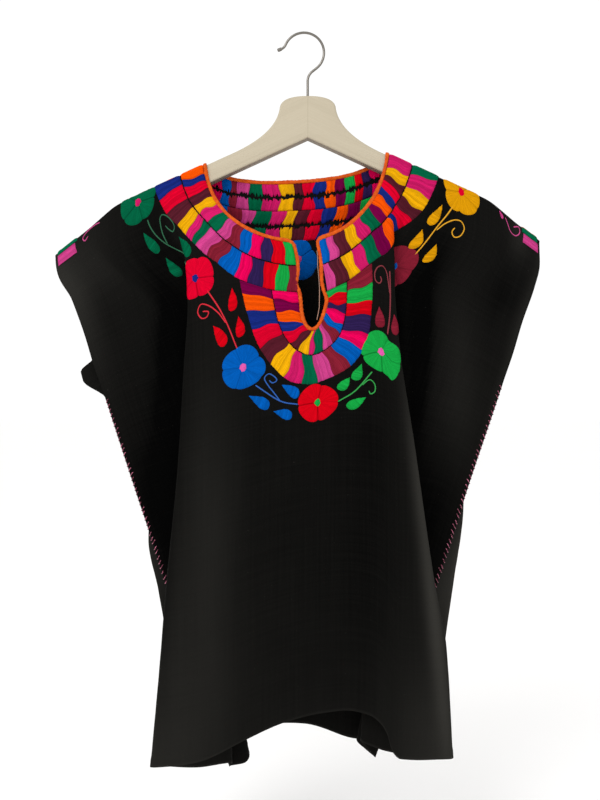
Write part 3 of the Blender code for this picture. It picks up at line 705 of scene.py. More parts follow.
def to_outline(outline, s, t):
    """Nearest point of an outline to each place, and the distance, negative inside the opening."""
    a, b = outline[:-1], outline[1:]
    run = b - a
    place = np.stack([s, t], axis=-1)[:, None, :]
    share = np.clip(((place - a) * run).sum(-1) / (run ** 2).sum(-1), 0.0, 1.0)
    nearest = a + share[..., None] * run
    gaps = np.linalg.norm(place - nearest, axis=-1)
    best = gaps.argmin(axis=1)
    pick = np.arange(len(s))
    closed_a, closed_b = np.vstack([a, b[-1:]]), np.vstack([b, a[:1]])
    crosses = (closed_a[:, 1] > t[:, None]) != (closed_b[:, 1] > t[:, None])
    rise = np.where(closed_b[:, 1] == closed_a[:, 1], 1e-9, closed_b[:, 1] - closed_a[:, 1])
    meet = closed_a[:, 0] + (t[:, None] - closed_a[:, 1]) / rise * (closed_b[:, 0] - closed_a[:, 0])
    inside = (crosses & (s[:, None] < meet)).sum(axis=1) % 2 == 1
    return nearest[pick, best], np.where(inside, -1.0, 1.0) * gaps[pick, best]


def cloth_panel(panel):
    """Thin shell of one half of the cloth: a flat grid, cut back at the neck and hung."""
    columns = np.linspace(-HALF_WIDTH, HALF_WIDTH, COLUMNS + 1)
    even = np.arange(FIRST_ROWS[-1] + ROW_STEP, LENGTH - ROW_STEP / 2, ROW_STEP)
    rows = np.concatenate([FIRST_ROWS, even, [LENGTH]])
    s, t = (grid.ravel() for grid in np.meshgrid(columns, rows))
    outline = np.array(neck_outline(panel))
    near = np.where((np.abs(s) < NECK_HALF + CUT_BACK_REACH) & (t < outline[:, 1].max() + CUT_BACK_REACH))[0]
    nearest, distance = to_outline(outline, s[near], t[near])
    way = np.stack([s[near], t[near]], axis=-1) - nearest
    way *= (np.sign(distance) / np.maximum(np.abs(distance), 1e-6))[:, None]
    clear = np.full(len(s), AWAY_FROM_NECK)
    clear[near] = distance
    moved = distance < CUT_BACK
    s[near[moved]] = (nearest + way * CUT_BACK)[moved, 0]
    t[near[moved]] = np.maximum((nearest + way * CUT_BACK)[moved, 1], 0.0)
    width = COLUMNS + 1
    corner = (np.arange(len(rows) - 1)[:, None] * width + np.arange(COLUMNS)).ravel()
    quads = np.stack([corner, corner + 1, corner + width + 1, corner + width], axis=1)
    well_out = (clear[quads] > CUT_BACK).sum(axis=1)
    quads = quads[(well_out >= 2) & (clear[quads].min(axis=1) > PAST_CUT)]
    if panel == "front":
        quads = quads[:, ::-1]
    used, quads = np.unique(quads, return_inverse=True)
    quads = quads.reshape(-1, 4)
    s, t = s[used], t[used]
    mesh = bpy.data.meshes.new(panel + "_cloth")
    mesh.from_pydata(on_cloth(panel, s, t, np.zeros(len(s))).tolist(), [], quads.tolist())
    layer = mesh.uv_layers.new(name="cut")
    flat = np.stack([s, t], axis=1)[quads.ravel()] * MM
    layer.data.foreach_set("uv", flat.ravel())
    # Each point's painted light and shade goes on the mesh as an attribute
    patchy_tone_and_painted_light = mesh.attributes.new("patchy_tone_and_painted_light", "FLOAT", "POINT")
    patchy_tone_and_painted_light.data.foreach_set("value", painted_light_at(panel, s, t))
    mesh.shade_smooth()
    mesh.materials.append(black_cotton)
    piece = bpy.data.objects.new(panel + "_cloth", mesh)
    bpy.context.scene.collection.objects.link(piece)
    wall = piece.modifiers.new("wall", "SOLIDIFY")
    wall.thickness = CLOTH_THICK * MM
    wall.offset = 0.0
    return piece


front_cloth = cloth_panel("front")
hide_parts("front")
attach(front_cloth, "root")

# ---------------------------------------------------------------- the back
# The other half of the same cloth, from the shoulder fold to the back hem, with a shallow neck. Its
# left sleeve edge droops past the front's just above the end of the armhole.

back_cloth = cloth_panel("back")
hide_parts("back")
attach(back_cloth, "root")


# ---------------------------------------------------------------- the neck edging
# The cut edge of the neck and the slit is rolled and whipped over closely with orange thread, which
# makes a round band. It stops at the shoulder folds, where the front's band meets the back's.

EDGING_THICK = 2.6
EDGING_SHOWN = 4.4
EDGING_PROUD = 0.35
EDGING_PITCH = 1.8
EDGING_STEP = 0.6
EDGING_AROUND = 12
EDGING_SOFTEN = 4
EDGING_TURNS = 0.08
EDGING_LUMPS = 0.07
EDGING_SWELLS = (0.06, 0.05)
SLIT_REACH = 30


def closed_tube(name, rings):
    """Joined mesh of closed tubes, each a list of rings of points in metres, capped at both ends."""
    points, faces = [], []
    for tube in rings:
        first, around = len(points), len(tube[0])
        for ring in tube:
            points.extend(ring)
        for k in range(len(tube) - 1):
            a = first + k * around
            for i in range(around):
                after = (i + 1) % around
                faces.append((a + i, a + after, a + around + after, a + around + i))
        faces.append(tuple(range(first, first + around)))
        faces.append(tuple(range(len(points) - around, len(points))))
    mesh = bpy.data.meshes.new(name)
    mesh.from_pydata([tuple(p) for p in points], [], faces)
    whole = bmesh.new()
    whole.from_mesh(mesh)
    bmesh.ops.recalc_face_normals(whole, faces=whole.faces)
    whole.to_mesh(mesh)
    whole.free()
    mesh.shade_smooth()
    piece = bpy.data.objects.new(name, mesh)
    bpy.context.scene.collection.objects.link(piece)
    return piece


def evenly(points, step):
    """The same line with points at even steps along it."""
    points = np.asarray(points, float)
    along = np.concatenate([[0.0], np.cumsum(np.linalg.norm(np.diff(points, axis=0), axis=1))])
    places = np.linspace(0.0, along[-1], max(2, round(along[-1] / step)) + 1)
    return np.stack([np.interp(places, along, points[:, i]) for i in range(points.shape[1])], axis=1)


def edging(panel):
    """The round band along a panel's opening: whipped turns, slow swells, and lumps, more at the slit."""
    line = evenly(neck_outline(panel), EDGING_STEP)
    away = moved_out(line, 1.0) - line
    soft = np.pad(away, ((EDGING_SOFTEN, EDGING_SOFTEN), (0, 0)), mode="edge")
    away = sum(soft[i:i + len(away)] for i in range(2 * EDGING_SOFTEN + 1))
    away /= np.linalg.norm(away, axis=1, keepdims=True)
    angle = np.arange(EDGING_AROUND) * math.tau / EDGING_AROUND
    place = np.arange(len(line))[:, None] * EDGING_STEP
    at_slit = 0.5 + 0.5 * (np.abs(line[:, :1]) < SLIT_REACH)
    lumps = EDGING_LUMPS * np.sin(place / 0.83 + 2.0 * np.sin(place / 9.1)) * at_slit
    slow, quick = np.sin(place / 7.3), np.sin(place / 3.1 + 1.7 * np.sin(place / 23.0))
    swells = EDGING_SWELLS[0] * slow + EDGING_SWELLS[1] * quick
    ridge = 1.0 + EDGING_TURNS * np.cos(math.tau * place / EDGING_PITCH + angle) + swells + lumps
    out = EDGING_SHOWN / 2 * (1.0 + ridge * np.cos(angle))
    lift = (EDGING_THICK / 2 + EDGING_PROUD) * ridge * np.sin(angle)
    s = line[:, :1] + away[:, :1] * out
    t = line[:, 1:] + away[:, 1:] * out
    return closed_tube("neck_edging_" + panel, [on_cloth(panel, s, np.maximum(t, 0.0), lift).tolist()])


# Orange pearl cotton, mercerised, so it has a soft gleam. Its whipped turns are modelled, and the fine
# twist of the thread is drawn 0.7 mm apart, a little coarser than it is.
orange_thread, tree, shader = new_material("orange pearl cotton")
place = add(tree, "TexCoord").outputs["Object"]
twist = add(tree, "TexNoise", {"Vector": place, "Scale": 1400.0, "Detail": 2.0}).outputs["Fac"]
patchy = add(tree, "TexNoise", {"Vector": place, "Scale": 260.0, "Detail": 3.0}).outputs["Fac"]
# A random patchy tone along the orange thread
patchy_tone_and_painted_light = add(tree, "MapRange", {"Value": patchy, "From Min": 0.3, "From Max": 0.7}).outputs[0]
dyed = add(tree, "Mix", {0: patchy_tone_and_painted_light, 6: linear("B43F05"), 7: linear("D0590D")}, data_type="RGBA").outputs[2]
tree.links.new(dyed, shader.inputs["Base Color"])
bump = add(tree, "Bump", {"Height": twist, "Strength": 0.4, "Distance": 0.0003})
tree.links.new(bump.outputs[0], shader.inputs["Normal"])
shader.inputs["Roughness"].default_value = 0.62
shader.inputs["Specular IOR Level"].default_value = 0.12
shader.inputs["Sheen Weight"].default_value = 0.02

for panel in ("front", "back"):
    band = edging(panel)
    band.data.materials.append(orange_thread)
    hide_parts("neck_edge_" + panel)
    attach(band, "root")

# ---------------------------------------------------------------- the front's collar
# Two rings of satin-stitched blocks round the neck, each block one colour. The threads of a block lie
# side by side from the neck outwards, and each block's edges waver a little.

# Dyed threads by the letter that the charts use: orange, royal blue, red, maroon, yellow, magenta, green,
# pink, wine, blue, bright pink, indigo, scarlet, leaf green, plum, pale pink and ochre
THREADS = {
    "o": "E04B02", "r": "132571", "e": "CA0026", "m": "4C1723", "y": "D99C06", "a": "BD175C",
    "g": "005839", "c": "BA3A7C", "w": "781A2B", "b": "0052A5", "p": "D6004F", "i": "291A48",
    "s": "C30012", "l": "12953C", "u": "68003A", "k": "D2539E", "n": "CA8C05",
}
# The pale colour that a stem's dye is mixed towards, as painted sheen
PAINTED_SHEEN_THREAD = "A39890"
THREAD_WIDE = 1.5
SHADE_UNEVEN = 0.19
FACE = CLOTH_THICK / 2
SUNK = -0.3


def strand_shade(count, seed):
    """Small differences of brightness between neighbouring threads."""
    return 1.0 + SHADE_UNEVEN * np.random.default_rng(seed).uniform(-1.0, 1.0, count)


class Sewing:
    """Thread patches sewn on one face of a panel, drawn flat as grids and joined into one piece."""

    def __init__(self, name, panel, inside=False):
        self.name, self.panel, self.inside = name, panel, inside
        self.places, self.faces, self.dyes, self.grain = [], [], [], []
        self.count = 0

    def patch(self, s, t, lift, dye, across, along, shade=1.0, pale=0.0):
        """A grid of places with its height over the cloth's face, and its thread's ways across and along."""
        s, t, lift, across, along, shade = np.broadcast_arrays(s, t, lift, across, along, shade)
        rows, columns = s.shape
        first = self.count + (np.arange(rows - 1)[:, None] * columns + np.arange(columns - 1)).ravel()
        faces = np.stack([first, first + 1, first + columns + 1, first + columns], axis=1)
        corner = faces - self.count
        flat_s, flat_t = s.ravel()[corner], t.ravel()[corner]
        turn = (flat_s[:, 2] - flat_s[:, 0]) * (flat_t[:, 3] - flat_t[:, 1])
        turn -= (flat_s[:, 3] - flat_s[:, 1]) * (flat_t[:, 2] - flat_t[:, 0])
        faces_back = (self.panel == "back") != self.inside
        wrong = (turn > 0) != faces_back
        faces[wrong] = faces[wrong][:, ::-1]
        height = (FACE + lift) * (-1.0 if self.inside else 1.0)
        self.places.append(np.stack([s.ravel(), np.maximum(t.ravel(), 0.0), height.ravel()]))
        self.faces.append(faces)
        # Where a patch is paler, as on the stems, a share of the pale colour is mixed into its dye as painted
        # sheen
        colour = np.array(linear(THREADS[dye])[:3]) * (1 - pale) + pale * np.array(linear(PAINTED_SHEEN_THREAD)[:3])
        self.dyes.append(np.clip(shade.ravel()[:, None] * colour, 0.0, 1.0))
        self.grain.append(np.stack([across.ravel(), along.ravel()], axis=1) * MM)
        self.count += s.size

    def joined(self, material):
        """All the patches as one piece, hung on the cloth, with each thread's dye and the way it runs."""
        mesh = bpy.data.meshes.new(self.name)
        faces = np.concatenate(self.faces)
        points = on_cloth(self.panel, *np.concatenate(self.places, axis=1))
        mesh.from_pydata(points.tolist(), [], faces.tolist())
        dyes = np.concatenate(self.dyes)
        dye = mesh.color_attributes.new("dye", "FLOAT_COLOR", "POINT")
        dye.data.foreach_set("color", np.column_stack([dyes, np.ones(len(dyes))]).ravel())
        layer = mesh.uv_layers.new(name="strands")
        layer.data.foreach_set("uv", np.concatenate(self.grain)[faces.ravel()].ravel())
        mesh.shade_smooth()
        mesh.materials.append(material)
        piece = bpy.data.objects.new(self.name, mesh)
        bpy.context.scene.collection.objects.link(piece)
        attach(piece, "root")
        return piece


# Stranded embroidery cotton, in the dyes of the chart. It gleams softly along its strands, which are about
# 0.2 mm thick and are drawn 0.5 mm apart, and its colour is a little lighter along the strands and darker
# between them, as painted light and shade.
stranded_cotton, tree, shader = new_material("stranded embroidery cotton")
dyed = add(tree, "Attribute", attribute_name="dye").outputs["Color"]
strands = add(tree, "UVMap", uv_map="strands").outputs["UV"]
lengthways = add(tree, "Mapping", {"Vector": strands, "Scale": (2000.0, 160.0, 1.0)}).outputs[0]
strand = add(tree, "TexNoise", {"Vector": lengthways, "Scale": 1.0, "Detail": 2.0}).outputs["Fac"]
# Painted light and shade: the dye is lightened on the strands and darkened between them
painted_shade_between_strands = {"Value": strand, "From Min": 0.3, "From Max": 0.7, "To Min": 0.80, "To Max": 1.08}
depth = add(tree, "MapRange", painted_shade_between_strands).outputs[0]
shaded = add(tree, "VectorMath", {0: dyed, "Scale": depth}, operation="SCALE").outputs[0]
tree.links.new(shaded, shader.inputs["Base Color"])
bump = add(tree, "Bump", {"Height": strand, "Strength": 0.5, "Distance": 0.0003})
tree.links.new(bump.outputs[0], shader.inputs["Normal"])
shader.inputs["Roughness"].default_value = 0.6
shader.inputs["Specular IOR Level"].default_value = 0.015

# The two rings' depths from the neck's edge, and the share of them that they have at each angle round
# the neck, from the shoulder fold to the slit
FIRST_RING = (4.1, 31.1)
SECOND_RING = (31.5, 62.0)
UNDER_EDGING = 0.3
Deep = namedtuple("Deep", "angle left right")
FRONT_DEPTHS = (
    Deep(0, 1.13, 1.14), Deep(17, 0.94, 0.96), Deep(32, 0.81, 0.87), Deep(48, 0.89, 0.73),
    Deep(60, 0.96, 0.77), Deep(74, 0.98, 0.92), Deep(90, 0.99, 1.10),
)

# The blocks in order from the shoulder to the slit: their dyes, and their widths on the ring's inner
# line and on its outer line
Chart = namedtuple("Chart", "dyes near far")
FRONT_CHARTS = {
    (-1, FIRST_RING): Chart(
        "oremyagcwbpisl",
        (24, 8, 9, 12, 10, 12, 11, 11, 8, 13, 11, 10, 13, 10),
        (18, 8, 16, 13, 13, 14, 15, 12, 15, 12, 13, 14, 15, 11),
    ),
    (-1, SECOND_RING): Chart(
        "oremyagcwbpislw",
        (8, 14, 20, 17, 12, 11, 13, 16, 14, 13, 12, 14, 16, 13, 8),
        (10, 20, 21, 23, 20, 11, 6, 17, 17, 24, 17, 18, 14, 16, 12),
    ),
    (1, FIRST_RING): Chart(
        "aymerougaymcb",
        (26, 9, 4, 9, 9, 13, 9, 16, 13, 13, 14, 9, 9),
        (26, 15, 14, 14, 11, 12, 14, 18, 18, 18, 16, 13, 9),
    ),
    (1, SECOND_RING): Chart(
        "gaymerougaymc",
        (24, 15, 16, 14, 16, 10, 11, 23, 18, 17, 14, 15, 8),
        (18, 27, 21, 14, 15, 24, 32, 19, 20, 16, 15, 18, 13),
    ),
}
BLOCK_ROWS = (0.0, 0.03, 0.12, 0.27, 0.42, 0.58, 0.73, 0.88, 0.97, 1.0)
BLOCK_WAVE = 1.3
BLOCK_HIGH = 0.95
BLOCK_CROWN = 0.55
# Painted shade: the outermost thread at each side of a block is darkened, as shade between neighbouring
# blocks
BLOCK_EDGE_PAINTED_SHADE = 0.5
THREAD_PROUD = 0.20
# Painted light and shade: the raised threads are made a little lighter and the grooves between them darker
RIDGE_LIGHT_GROOVE_SHADE = (1.06, 0.84)

# The wrong side: where each of its two rows starts and ends, and how ragged they are where they part
INSIDE_ROWS = ((-0.01, 0.485), (0.515, 1.01))
SPIKY = 3.8


def places_along(line, place):
    """Points of a line of evenly spaced points, at each place along it in millimetres."""
    apart = np.linalg.norm(line[1] - line[0])
    return [np.interp(place, np.arange(len(line)) * apart, line[:, i]) for i in (0, 1)]


def satin_block(
    sewing, inner, outer, near, far, dye, seed, rows=(0.0, 1.0), ragged=(0.5, 0.5), waves=((0, 0), (0, 0))
):
    """One block between two lines. It lies between two places on each, and its two edges may wave."""
    rng = np.random.default_rng(seed)
    wide = (near[1] - near[0] + far[1] - far[0]) / 2
    sides = ((inner, near), (outer, far))
    middles = [np.array(places_along(line, sum(ends) / 2)) for line, ends in sides]
    high = np.linalg.norm(middles[1] - middles[0])
    threads = max(3, round(wide / THREAD_WIDE))
    columns = 2 * threads + 1
    column = np.arange(columns) / (2 * threads)
    inward = np.array(BLOCK_ROWS)[:, None]
    down = rows[0] + (rows[1] - rows[0]) * inward
    left, right = (size * np.sin(math.tau * (1.05 * down + phase)) for size, phase in waves)
    sway = left * (1 - column) + right * column
    short = np.repeat(rng.uniform(0.0, 1.0, (2, threads + 1)) ** 1.4, 2, axis=1)[:, :columns] / high
    first, last = rows[0] + ragged[0] * short[0], rows[1] - ragged[1] * short[1]
    reach = first + (last - first) * inward
    start, end = (places_along(line, ends[0] + (ends[1] - ends[0]) * column + sway) for line, ends in sides)
    grid = [a * (1 - reach) + b * reach for a, b in zip(start, end)]
    dome = 1.0 - np.abs(2 * inward - 1) ** 14
    pillow = 1.0 - 0.45 * np.abs(2 * column - 1) ** 8
    thread = THREAD_PROUD * (np.arange(columns) % 2)
    lift = SUNK + (BLOCK_HIGH + thread + BLOCK_CROWN * pillow) * dome
    # The threads' random brightness, with painted light on the raised threads and painted shade in the
    # grooves
    shade = np.repeat(strand_shade(threads + 1, seed + 1), 2)[:columns] * np.where(thread > 0, *RIDGE_LIGHT_GROOVE_SHADE)
    shade[0] = shade[-1] = BLOCK_EDGE_PAINTED_SHADE
    sewing.patch(grid[0], grid[1], lift, dye, column * wide, inward * high, shade)


def ring_of_blocks(sewing, inner, outer, chart, seed):
    """A ring of blocks. On the wrong side each row of stitches shows as two, parted by a ragged line."""
    inner, outer = evenly(inner, 1.0), evenly(outer, 1.0)

    def meets(widths, line):
        share = np.concatenate([[0.0], np.cumsum(widths)]) / sum(widths)
        return share * (len(line) - 1) * np.linalg.norm(line[1] - line[0])

    near, far = meets(chart.near, inner), meets(chart.far, outer)
    rng = np.random.default_rng(seed)
    sizes, phases = BLOCK_WAVE * rng.uniform(0.5, 1.5, len(near)), rng.uniform(0.0, 1.0, len(near))
    sizes[0] = sizes[-1] = 0.0
    waves = list(zip(sizes, phases))
    for i, dye in enumerate(chart.dyes):
        block = (sewing, inner, outer, near[i:i + 2], far[i:i + 2], dye)
        if sewing.inside:
            satin_block(*block, seed * 100 + 2 * i, INSIDE_ROWS[0], (0.2, SPIKY), waves[i:i + 2])
            satin_block(*block, seed * 100 + 2 * i + 1, INSIDE_ROWS[1], (SPIKY, 0.2), waves[i:i + 2])
        else:
            satin_block(*block, seed * 100 + i, waves=waves[i:i + 2])


def front_line(side, depth):
    """Line round the front neck at a depth from its edge, from the shoulder fold to the slit's edging."""
    def round_neck(angle):
        deep = depth * read(FRONT_DEPTHS, "left" if side < 0 else "right", np.degrees(angle))
        return (NECK_HALF + deep) * np.cos(angle), (NECK_DROP["front"] + deep) * np.sin(angle)

    angle = np.linspace(math.pi / 2, 0.0, 400)
    across, down = round_neck(angle)
    slit_edge = SLIT_HALF + EDGING_SHOWN - UNDER_EDGING + float(slit_waver(side, down[0]))
    across, down = round_neck(np.linspace(0.0, np.interp(slit_edge, across, angle), 120))
    return np.stack([side * across, down], axis=1)


def front_collar(name, inside=False):
    sewing = Sewing(name, "front", inside)
    for seed, ((side, (near, far)), chart) in enumerate(FRONT_CHARTS.items(), 11):
        ring_of_blocks(sewing, front_line(side, near), front_line(side, far), chart, seed)
    return sewing.joined(stranded_cotton)


front_collar("collar_front")

# ---------------------------------------------------------------- the slit's yoke
# Two more rings of blocks round the slit, under the collar: straight down its sides and round its end.

YOKE_FROM_EDGE = 4.1
YOKE_INNER = Chart(
    "puoremyagcwbpisl",
    (12, 10, 14, 4, 6, 4, 2, 3, 6, 4, 4, 6, 8, 4, 8, 6),
    (10, 14, 12, 15, 15, 13, 13, 6, 14, 13, 12, 10, 15, 10, 16, 10),
)
YOKE_OUTER = Chart(
    "uoremyagcwbpislw",
    (10, 14, 16, 13, 14, 14, 9, 11, 13, 12, 14, 9, 17, 14, 14, 12),
    (14, 21, 21, 24, 22, 24, 24, 17, 21, 21, 23, 20, 22, 16, 20, 22),
)

# The line where the yoke's two rings meet, and the outer ring's outside, from left to right
YOKE_MEETS = ((-46, 164), (-39, 200), (-26, 226), (-7, 241), (12, 238), (30, 222), (38, 198), (41, 162))
YOKE_OUTSIDE = (
    (-82, 150), (-75, 184), (-61, 226), (-35, 263), (-13, 274),
    (6, 274), (42, 258), (63, 226), (69, 186), (72, 142),
)
UNDER_COLLAR = 0.6


def through(points, steps=12):
    """A soft curve through a few places."""
    points = np.asarray(points, float)
    ends = np.vstack([2 * points[0] - points[1], points, 2 * points[-1] - points[-2]])
    u = np.linspace(0.0, 1.0, steps, endpoint=False)[:, None]
    parts = [
        b + (c - a) * u / 2 + (2 * a - 5 * b + 4 * c - d) * u ** 2 / 2 + (3 * b - a - 3 * c + d) * u ** 3 / 2
        for a, b, c, d in zip(ends, ends[1:], ends[2:], ends[3:])
    ]
    return np.vstack(parts + [points[-1:]])


def under_collar(line):
    """The line with its two ends on the collar's outside."""
    for end, side in ((0, -1), (-1, 1)):
        collar = front_line(side, SECOND_RING[1])[::-1]
        line[end, 1] = np.interp(abs(line[end, 0]), np.abs(collar[:, 0]), collar[:, 1]) + UNDER_COLLAR
    return line


def slit_line(depth):
    """Line round the slit at a depth from its edge, from the collar on the left to that on the right."""
    halves = []
    for side in (-1, 1):
        collar = front_line(side, SECOND_RING[1])[-1, 1] + UNDER_COLLAR
        straight, turn = np.linspace(collar, SLIT_TAPER_FROM, 30), np.linspace(0.0, math.pi / 2, 41)[1:]
        angle = np.concatenate([np.zeros(len(straight)), turn])
        t = np.concatenate([straight, SLIT_TAPER_FROM + (SLIT_END - SLIT_TAPER_FROM + depth) * np.sin(turn)])
        halves.append(np.stack([side * (SLIT_HALF + depth + slit_waver(side, t)) * np.cos(angle), t], axis=1))
    return np.vstack([halves[0], halves[1][-2::-1]])


def yoke(name, inside=False):
    sewing = Sewing(name, "front", inside)
    meets, outside = under_collar(through(YOKE_MEETS)), under_collar(through(YOKE_OUTSIDE))
    ring_of_blocks(sewing, slit_line(YOKE_FROM_EDGE), meets, YOKE_INNER, 21)
    ring_of_blocks(sewing, meets, outside, YOKE_OUTER, 22)
    return sewing.joined(stranded_cotton)


yoke("yoke")

# ---------------------------------------------------------------- the back's collar
# The same two rings round the shallow back neck, which meet the front's at the shoulder folds.

BACK_CHARTS = {
    FIRST_RING: Chart(
        "sipbwcgaymeroulsipbw",
        (12, 12, 12, 10, 8, 15, 16, 21, 17, 11, 13, 14, 12, 12, 12, 9, 9, 12, 12, 12),
        (30, 24, 20, 12, 8, 15, 16, 21, 17, 11, 13, 14, 12, 12, 12, 10, 12, 20, 24, 30),
    ),
    SECOND_RING: Chart(
        "sipbwcgaymeroulsipb",
        (21, 21, 21, 20, 16, 15, 19, 17, 13, 15, 16, 15, 14, 16, 17, 17, 17, 17, 17),
        (38, 34, 30, 24, 17, 15, 19, 17, 13, 15, 16, 15, 14, 20, 24, 28, 30, 32, 34),
    ),
}
BACK_DEEPER = 1.08


def back_line(depth):
    """Line round the back neck at a depth from its edge, from the left shoulder fold to the right."""
    power = 2.0 / NECK_ROUNDNESS["back"]
    angle = np.linspace(0.0, math.pi, 160)
    return np.stack([
        -(NECK_HALF + depth) * np.sign(np.cos(angle)) * np.abs(np.cos(angle)) ** power,
        (NECK_DROP["back"] + BACK_DEEPER * depth) * np.sin(angle) ** power,
    ], axis=1)


def back_collar(name, inside=False):
    sewing = Sewing(name, "back", inside)
    for seed, ((near, far), chart) in enumerate(BACK_CHARTS.items(), 31):
        ring_of_blocks(sewing, back_line(near), back_line(far), chart, seed)
    return sewing.joined(stranded_cotton)


back_collar("collar_back")

# ---------------------------------------------------------------- the wrong side of the collar
# Inside, every row of satin stitch shows as two rows parted by a ragged line of bare cloth.

front_collar("collar_front_inside", inside=True)
yoke("yoke_inside", inside=True)
back_collar("collar_back_inside", inside=True)

# ---------------------------------------------------------------- the garland
# Flowers with leaves, a stem and a curling tendril between them, all round the collar. The petals'
# threads run out from the middle, the leaves' across, and the stems are a fine line of stem stitch.

Flower = namedtuple("Flower", "panel s t radius petals turned dye middle")
FLOWERS = (
    Flower("front", -193, 20, 24.5, 5, 20, "g", "a"),
    Flower("front", -131, 130, 23, 5, 24, "e", "r"),
    Flower("front", -81, 242, 25, 5, 62, "b", "k"),
    Flower("front", 3, 297, 23, 4, 0, "s", "l"),
    Flower("front", 78, 237, 24.5, 5, 100, "l", "k"),
    Flower("front", 161, 116, 22.5, 5, 0, "w", "b"),
    Flower("front", 202, 17, 25, 5, 40, "n", "e"),
    Flower("back", -2, 118.5, 23, 5, 54, "b", "c"),
    Flower("back", -88, 114, 23, 5, 10, "s", "y"),
    Flower("back", 102, 112, 23, 6, 30, "l", "k"),
    Flower("back", -176, 62, 22, 5, 0, "w", "b"),
    Flower("back", 186, 60, 22, 4, 20, "u", "y"),
)
PETAL_ROWS = (0.10, 0.22, 0.38, 0.54, 0.70, 0.84, 0.95, 0.99, 1.0)
PETAL_HIGH = 1.35
PETAL_NOTCH = 0.12
NOTCH_REACH = 0.20
GROOVE_REACH = 0.7
GROOVE_DEEP = 0.6
# Painted shade in the grooves between the petals
GROOVE_PAINTED_SHADE = 0.55
FINE_THREAD_PROUD = 0.16
KNOT_ROWS = (0.0, 0.35, 0.7, 0.92, 1.0)
KNOT_SHARE = 0.20
KNOT_HIGH = 2.3


def sew_flower(sewing, flower, seed):
    threads = round(math.tau * flower.radius * 0.9 / THREAD_WIDE)
    angle = np.linspace(0.0, math.tau, 2 * threads + 1)
    rng = np.random.default_rng(seed)
    even = (np.arange(flower.petals) + rng.uniform(-0.16, 0.16, flower.petals)) / flower.petals
    meets = even * math.tau + math.radians(flower.turned)
    depths, grooves = rng.uniform(0.5, 1.2, flower.petals), rng.uniform(0.1, 0.9, flower.petals)
    ragged = np.append(np.repeat(rng.uniform(-0.4, 0.4, threads), 2), 0.0)
    ragged[-1] = ragged[0]
    size = 1.0 + 0.035 * np.sin(2 * angle + seed) + 0.03 * np.sin(3 * angle + 2.0 * seed)
    size = size + 0.03 * np.sin(4 * angle + 1.3 * seed)
    out = np.array(PETAL_ROWS)[:, None]
    rim, groove = flower.radius * size, np.zeros((len(out), len(angle)))
    for meet, depth, strength in zip(meets, depths, grooves):
        off = np.abs((angle - meet + math.pi) % math.tau - math.pi)
        rim = rim * (1.0 - PETAL_NOTCH * depth * np.exp(-off / NOTCH_REACH))
        groove = np.maximum(groove, strength * np.exp(-((off * flower.radius * out / GROOVE_REACH) ** 2)))
    reach = rim * out + ragged * (out == 1.0)
    odd = (np.arange(2 * threads + 1) % 2) * 1.0
    padded = PETAL_HIGH * (1.0 - out ** 14) + FINE_THREAD_PROUD * odd * out
    lift = SUNK + padded * (1.0 - GROOVE_DEEP * groove)
    shade = 0.5 + 0.5 * np.append(np.repeat(strand_shade(threads, seed), 2), 1.0)
    shade[-1] = shade[0]
    # Painted light on the raised threads, painted shade between them, and more painted shade in the grooves
    # between the petals
    shade = shade * np.where(odd > 0, 1.03, 0.92) * (1.0 - GROOVE_PAINTED_SHADE * groove)
    s, t = flower.s + reach * np.sin(angle), flower.t - reach * np.cos(angle)
    sewing.patch(s, t, lift, flower.dye, angle * flower.radius * 0.6, reach, shade)
    knot = np.array(KNOT_ROWS)[:, None]
    turn = np.linspace(0.0, math.tau, 25)
    uneven = 1.0 + 0.06 * np.cos(7 * turn) + 0.05 * np.cos(3 * turn + seed)
    knob = KNOT_SHARE * flower.radius * uneven * knot
    knob_s, knob_t = flower.s + 0.9 * knob * np.sin(turn), flower.t - 1.1 * knob * np.cos(turn)
    stitches = 0.12 * np.cos(math.tau * knob_s / THREAD_WIDE)
    lift = SUNK + (KNOT_HIGH + stitches) * np.sqrt(1.0 - 0.999 * knot ** 2)
    sewing.patch(knob_s, knob_t, lift, flower.middle, knob_s, knob_t)


# Each leaf runs from its tip to its round end
Leaf = namedtuple("Leaf", "panel s t s_end t_end dye")
LEAVES = (
    Leaf("front", -188, 56, -184, 80, "g"), Leaf("front", -148, 76, -131, 104, "g"),
    Leaf("front", -183, 86, -188, 106, "g"), Leaf("front", -91, 152, -91, 178, "s"),
    Leaf("front", -85, 184, -82, 208, "s"), Leaf("front", -114, 188, -100, 214, "s"),
    Leaf("front", -38, 270, -18, 286, "b"), Leaf("front", -76, 274, -52, 292, "b"),
    Leaf("front", -48, 298, -26, 308, "b"), Leaf("front", 55, 254, 46, 274, "l"),
    Leaf("front", 41, 270, 28, 285, "l"), Leaf("front", 59, 292, 37, 306, "l"),
    Leaf("front", 77, 186, 78, 210, "w"), Leaf("front", 94, 186, 97, 208, "w"),
    Leaf("front", 253, 13, 259, 18, "c"), Leaf("front", 178, 40, 165, 68, "n"),
    Leaf("front", 161, 74, 165, 95, "n"), Leaf("front", 184, 82, 188, 102, "n"),
    Leaf("back", -47, 143, -73, 141, "b"), Leaf("back", -23, 129, -49, 131, "b"),
    Leaf("back", -22, 154, -46, 146, "b"), Leaf("back", 46, 152, 71, 146, "l"),
    Leaf("back", 53, 131, 78, 127, "l"), Leaf("back", 70, 160, 92, 150, "l"),
    Leaf("back", -115, 97, -138, 86, "s"), Leaf("back", -135, 115, -157, 101, "s"),
    Leaf("back", -110, 128, -134, 120, "s"), Leaf("back", 127, 99, 150, 88, "u"),
    Leaf("back", 147, 113, 169, 99, "u"), Leaf("back", 126, 126, 150, 118, "u"),
)
LEAF_WIDE = 12.0
LEAF_HIGH = 1.25


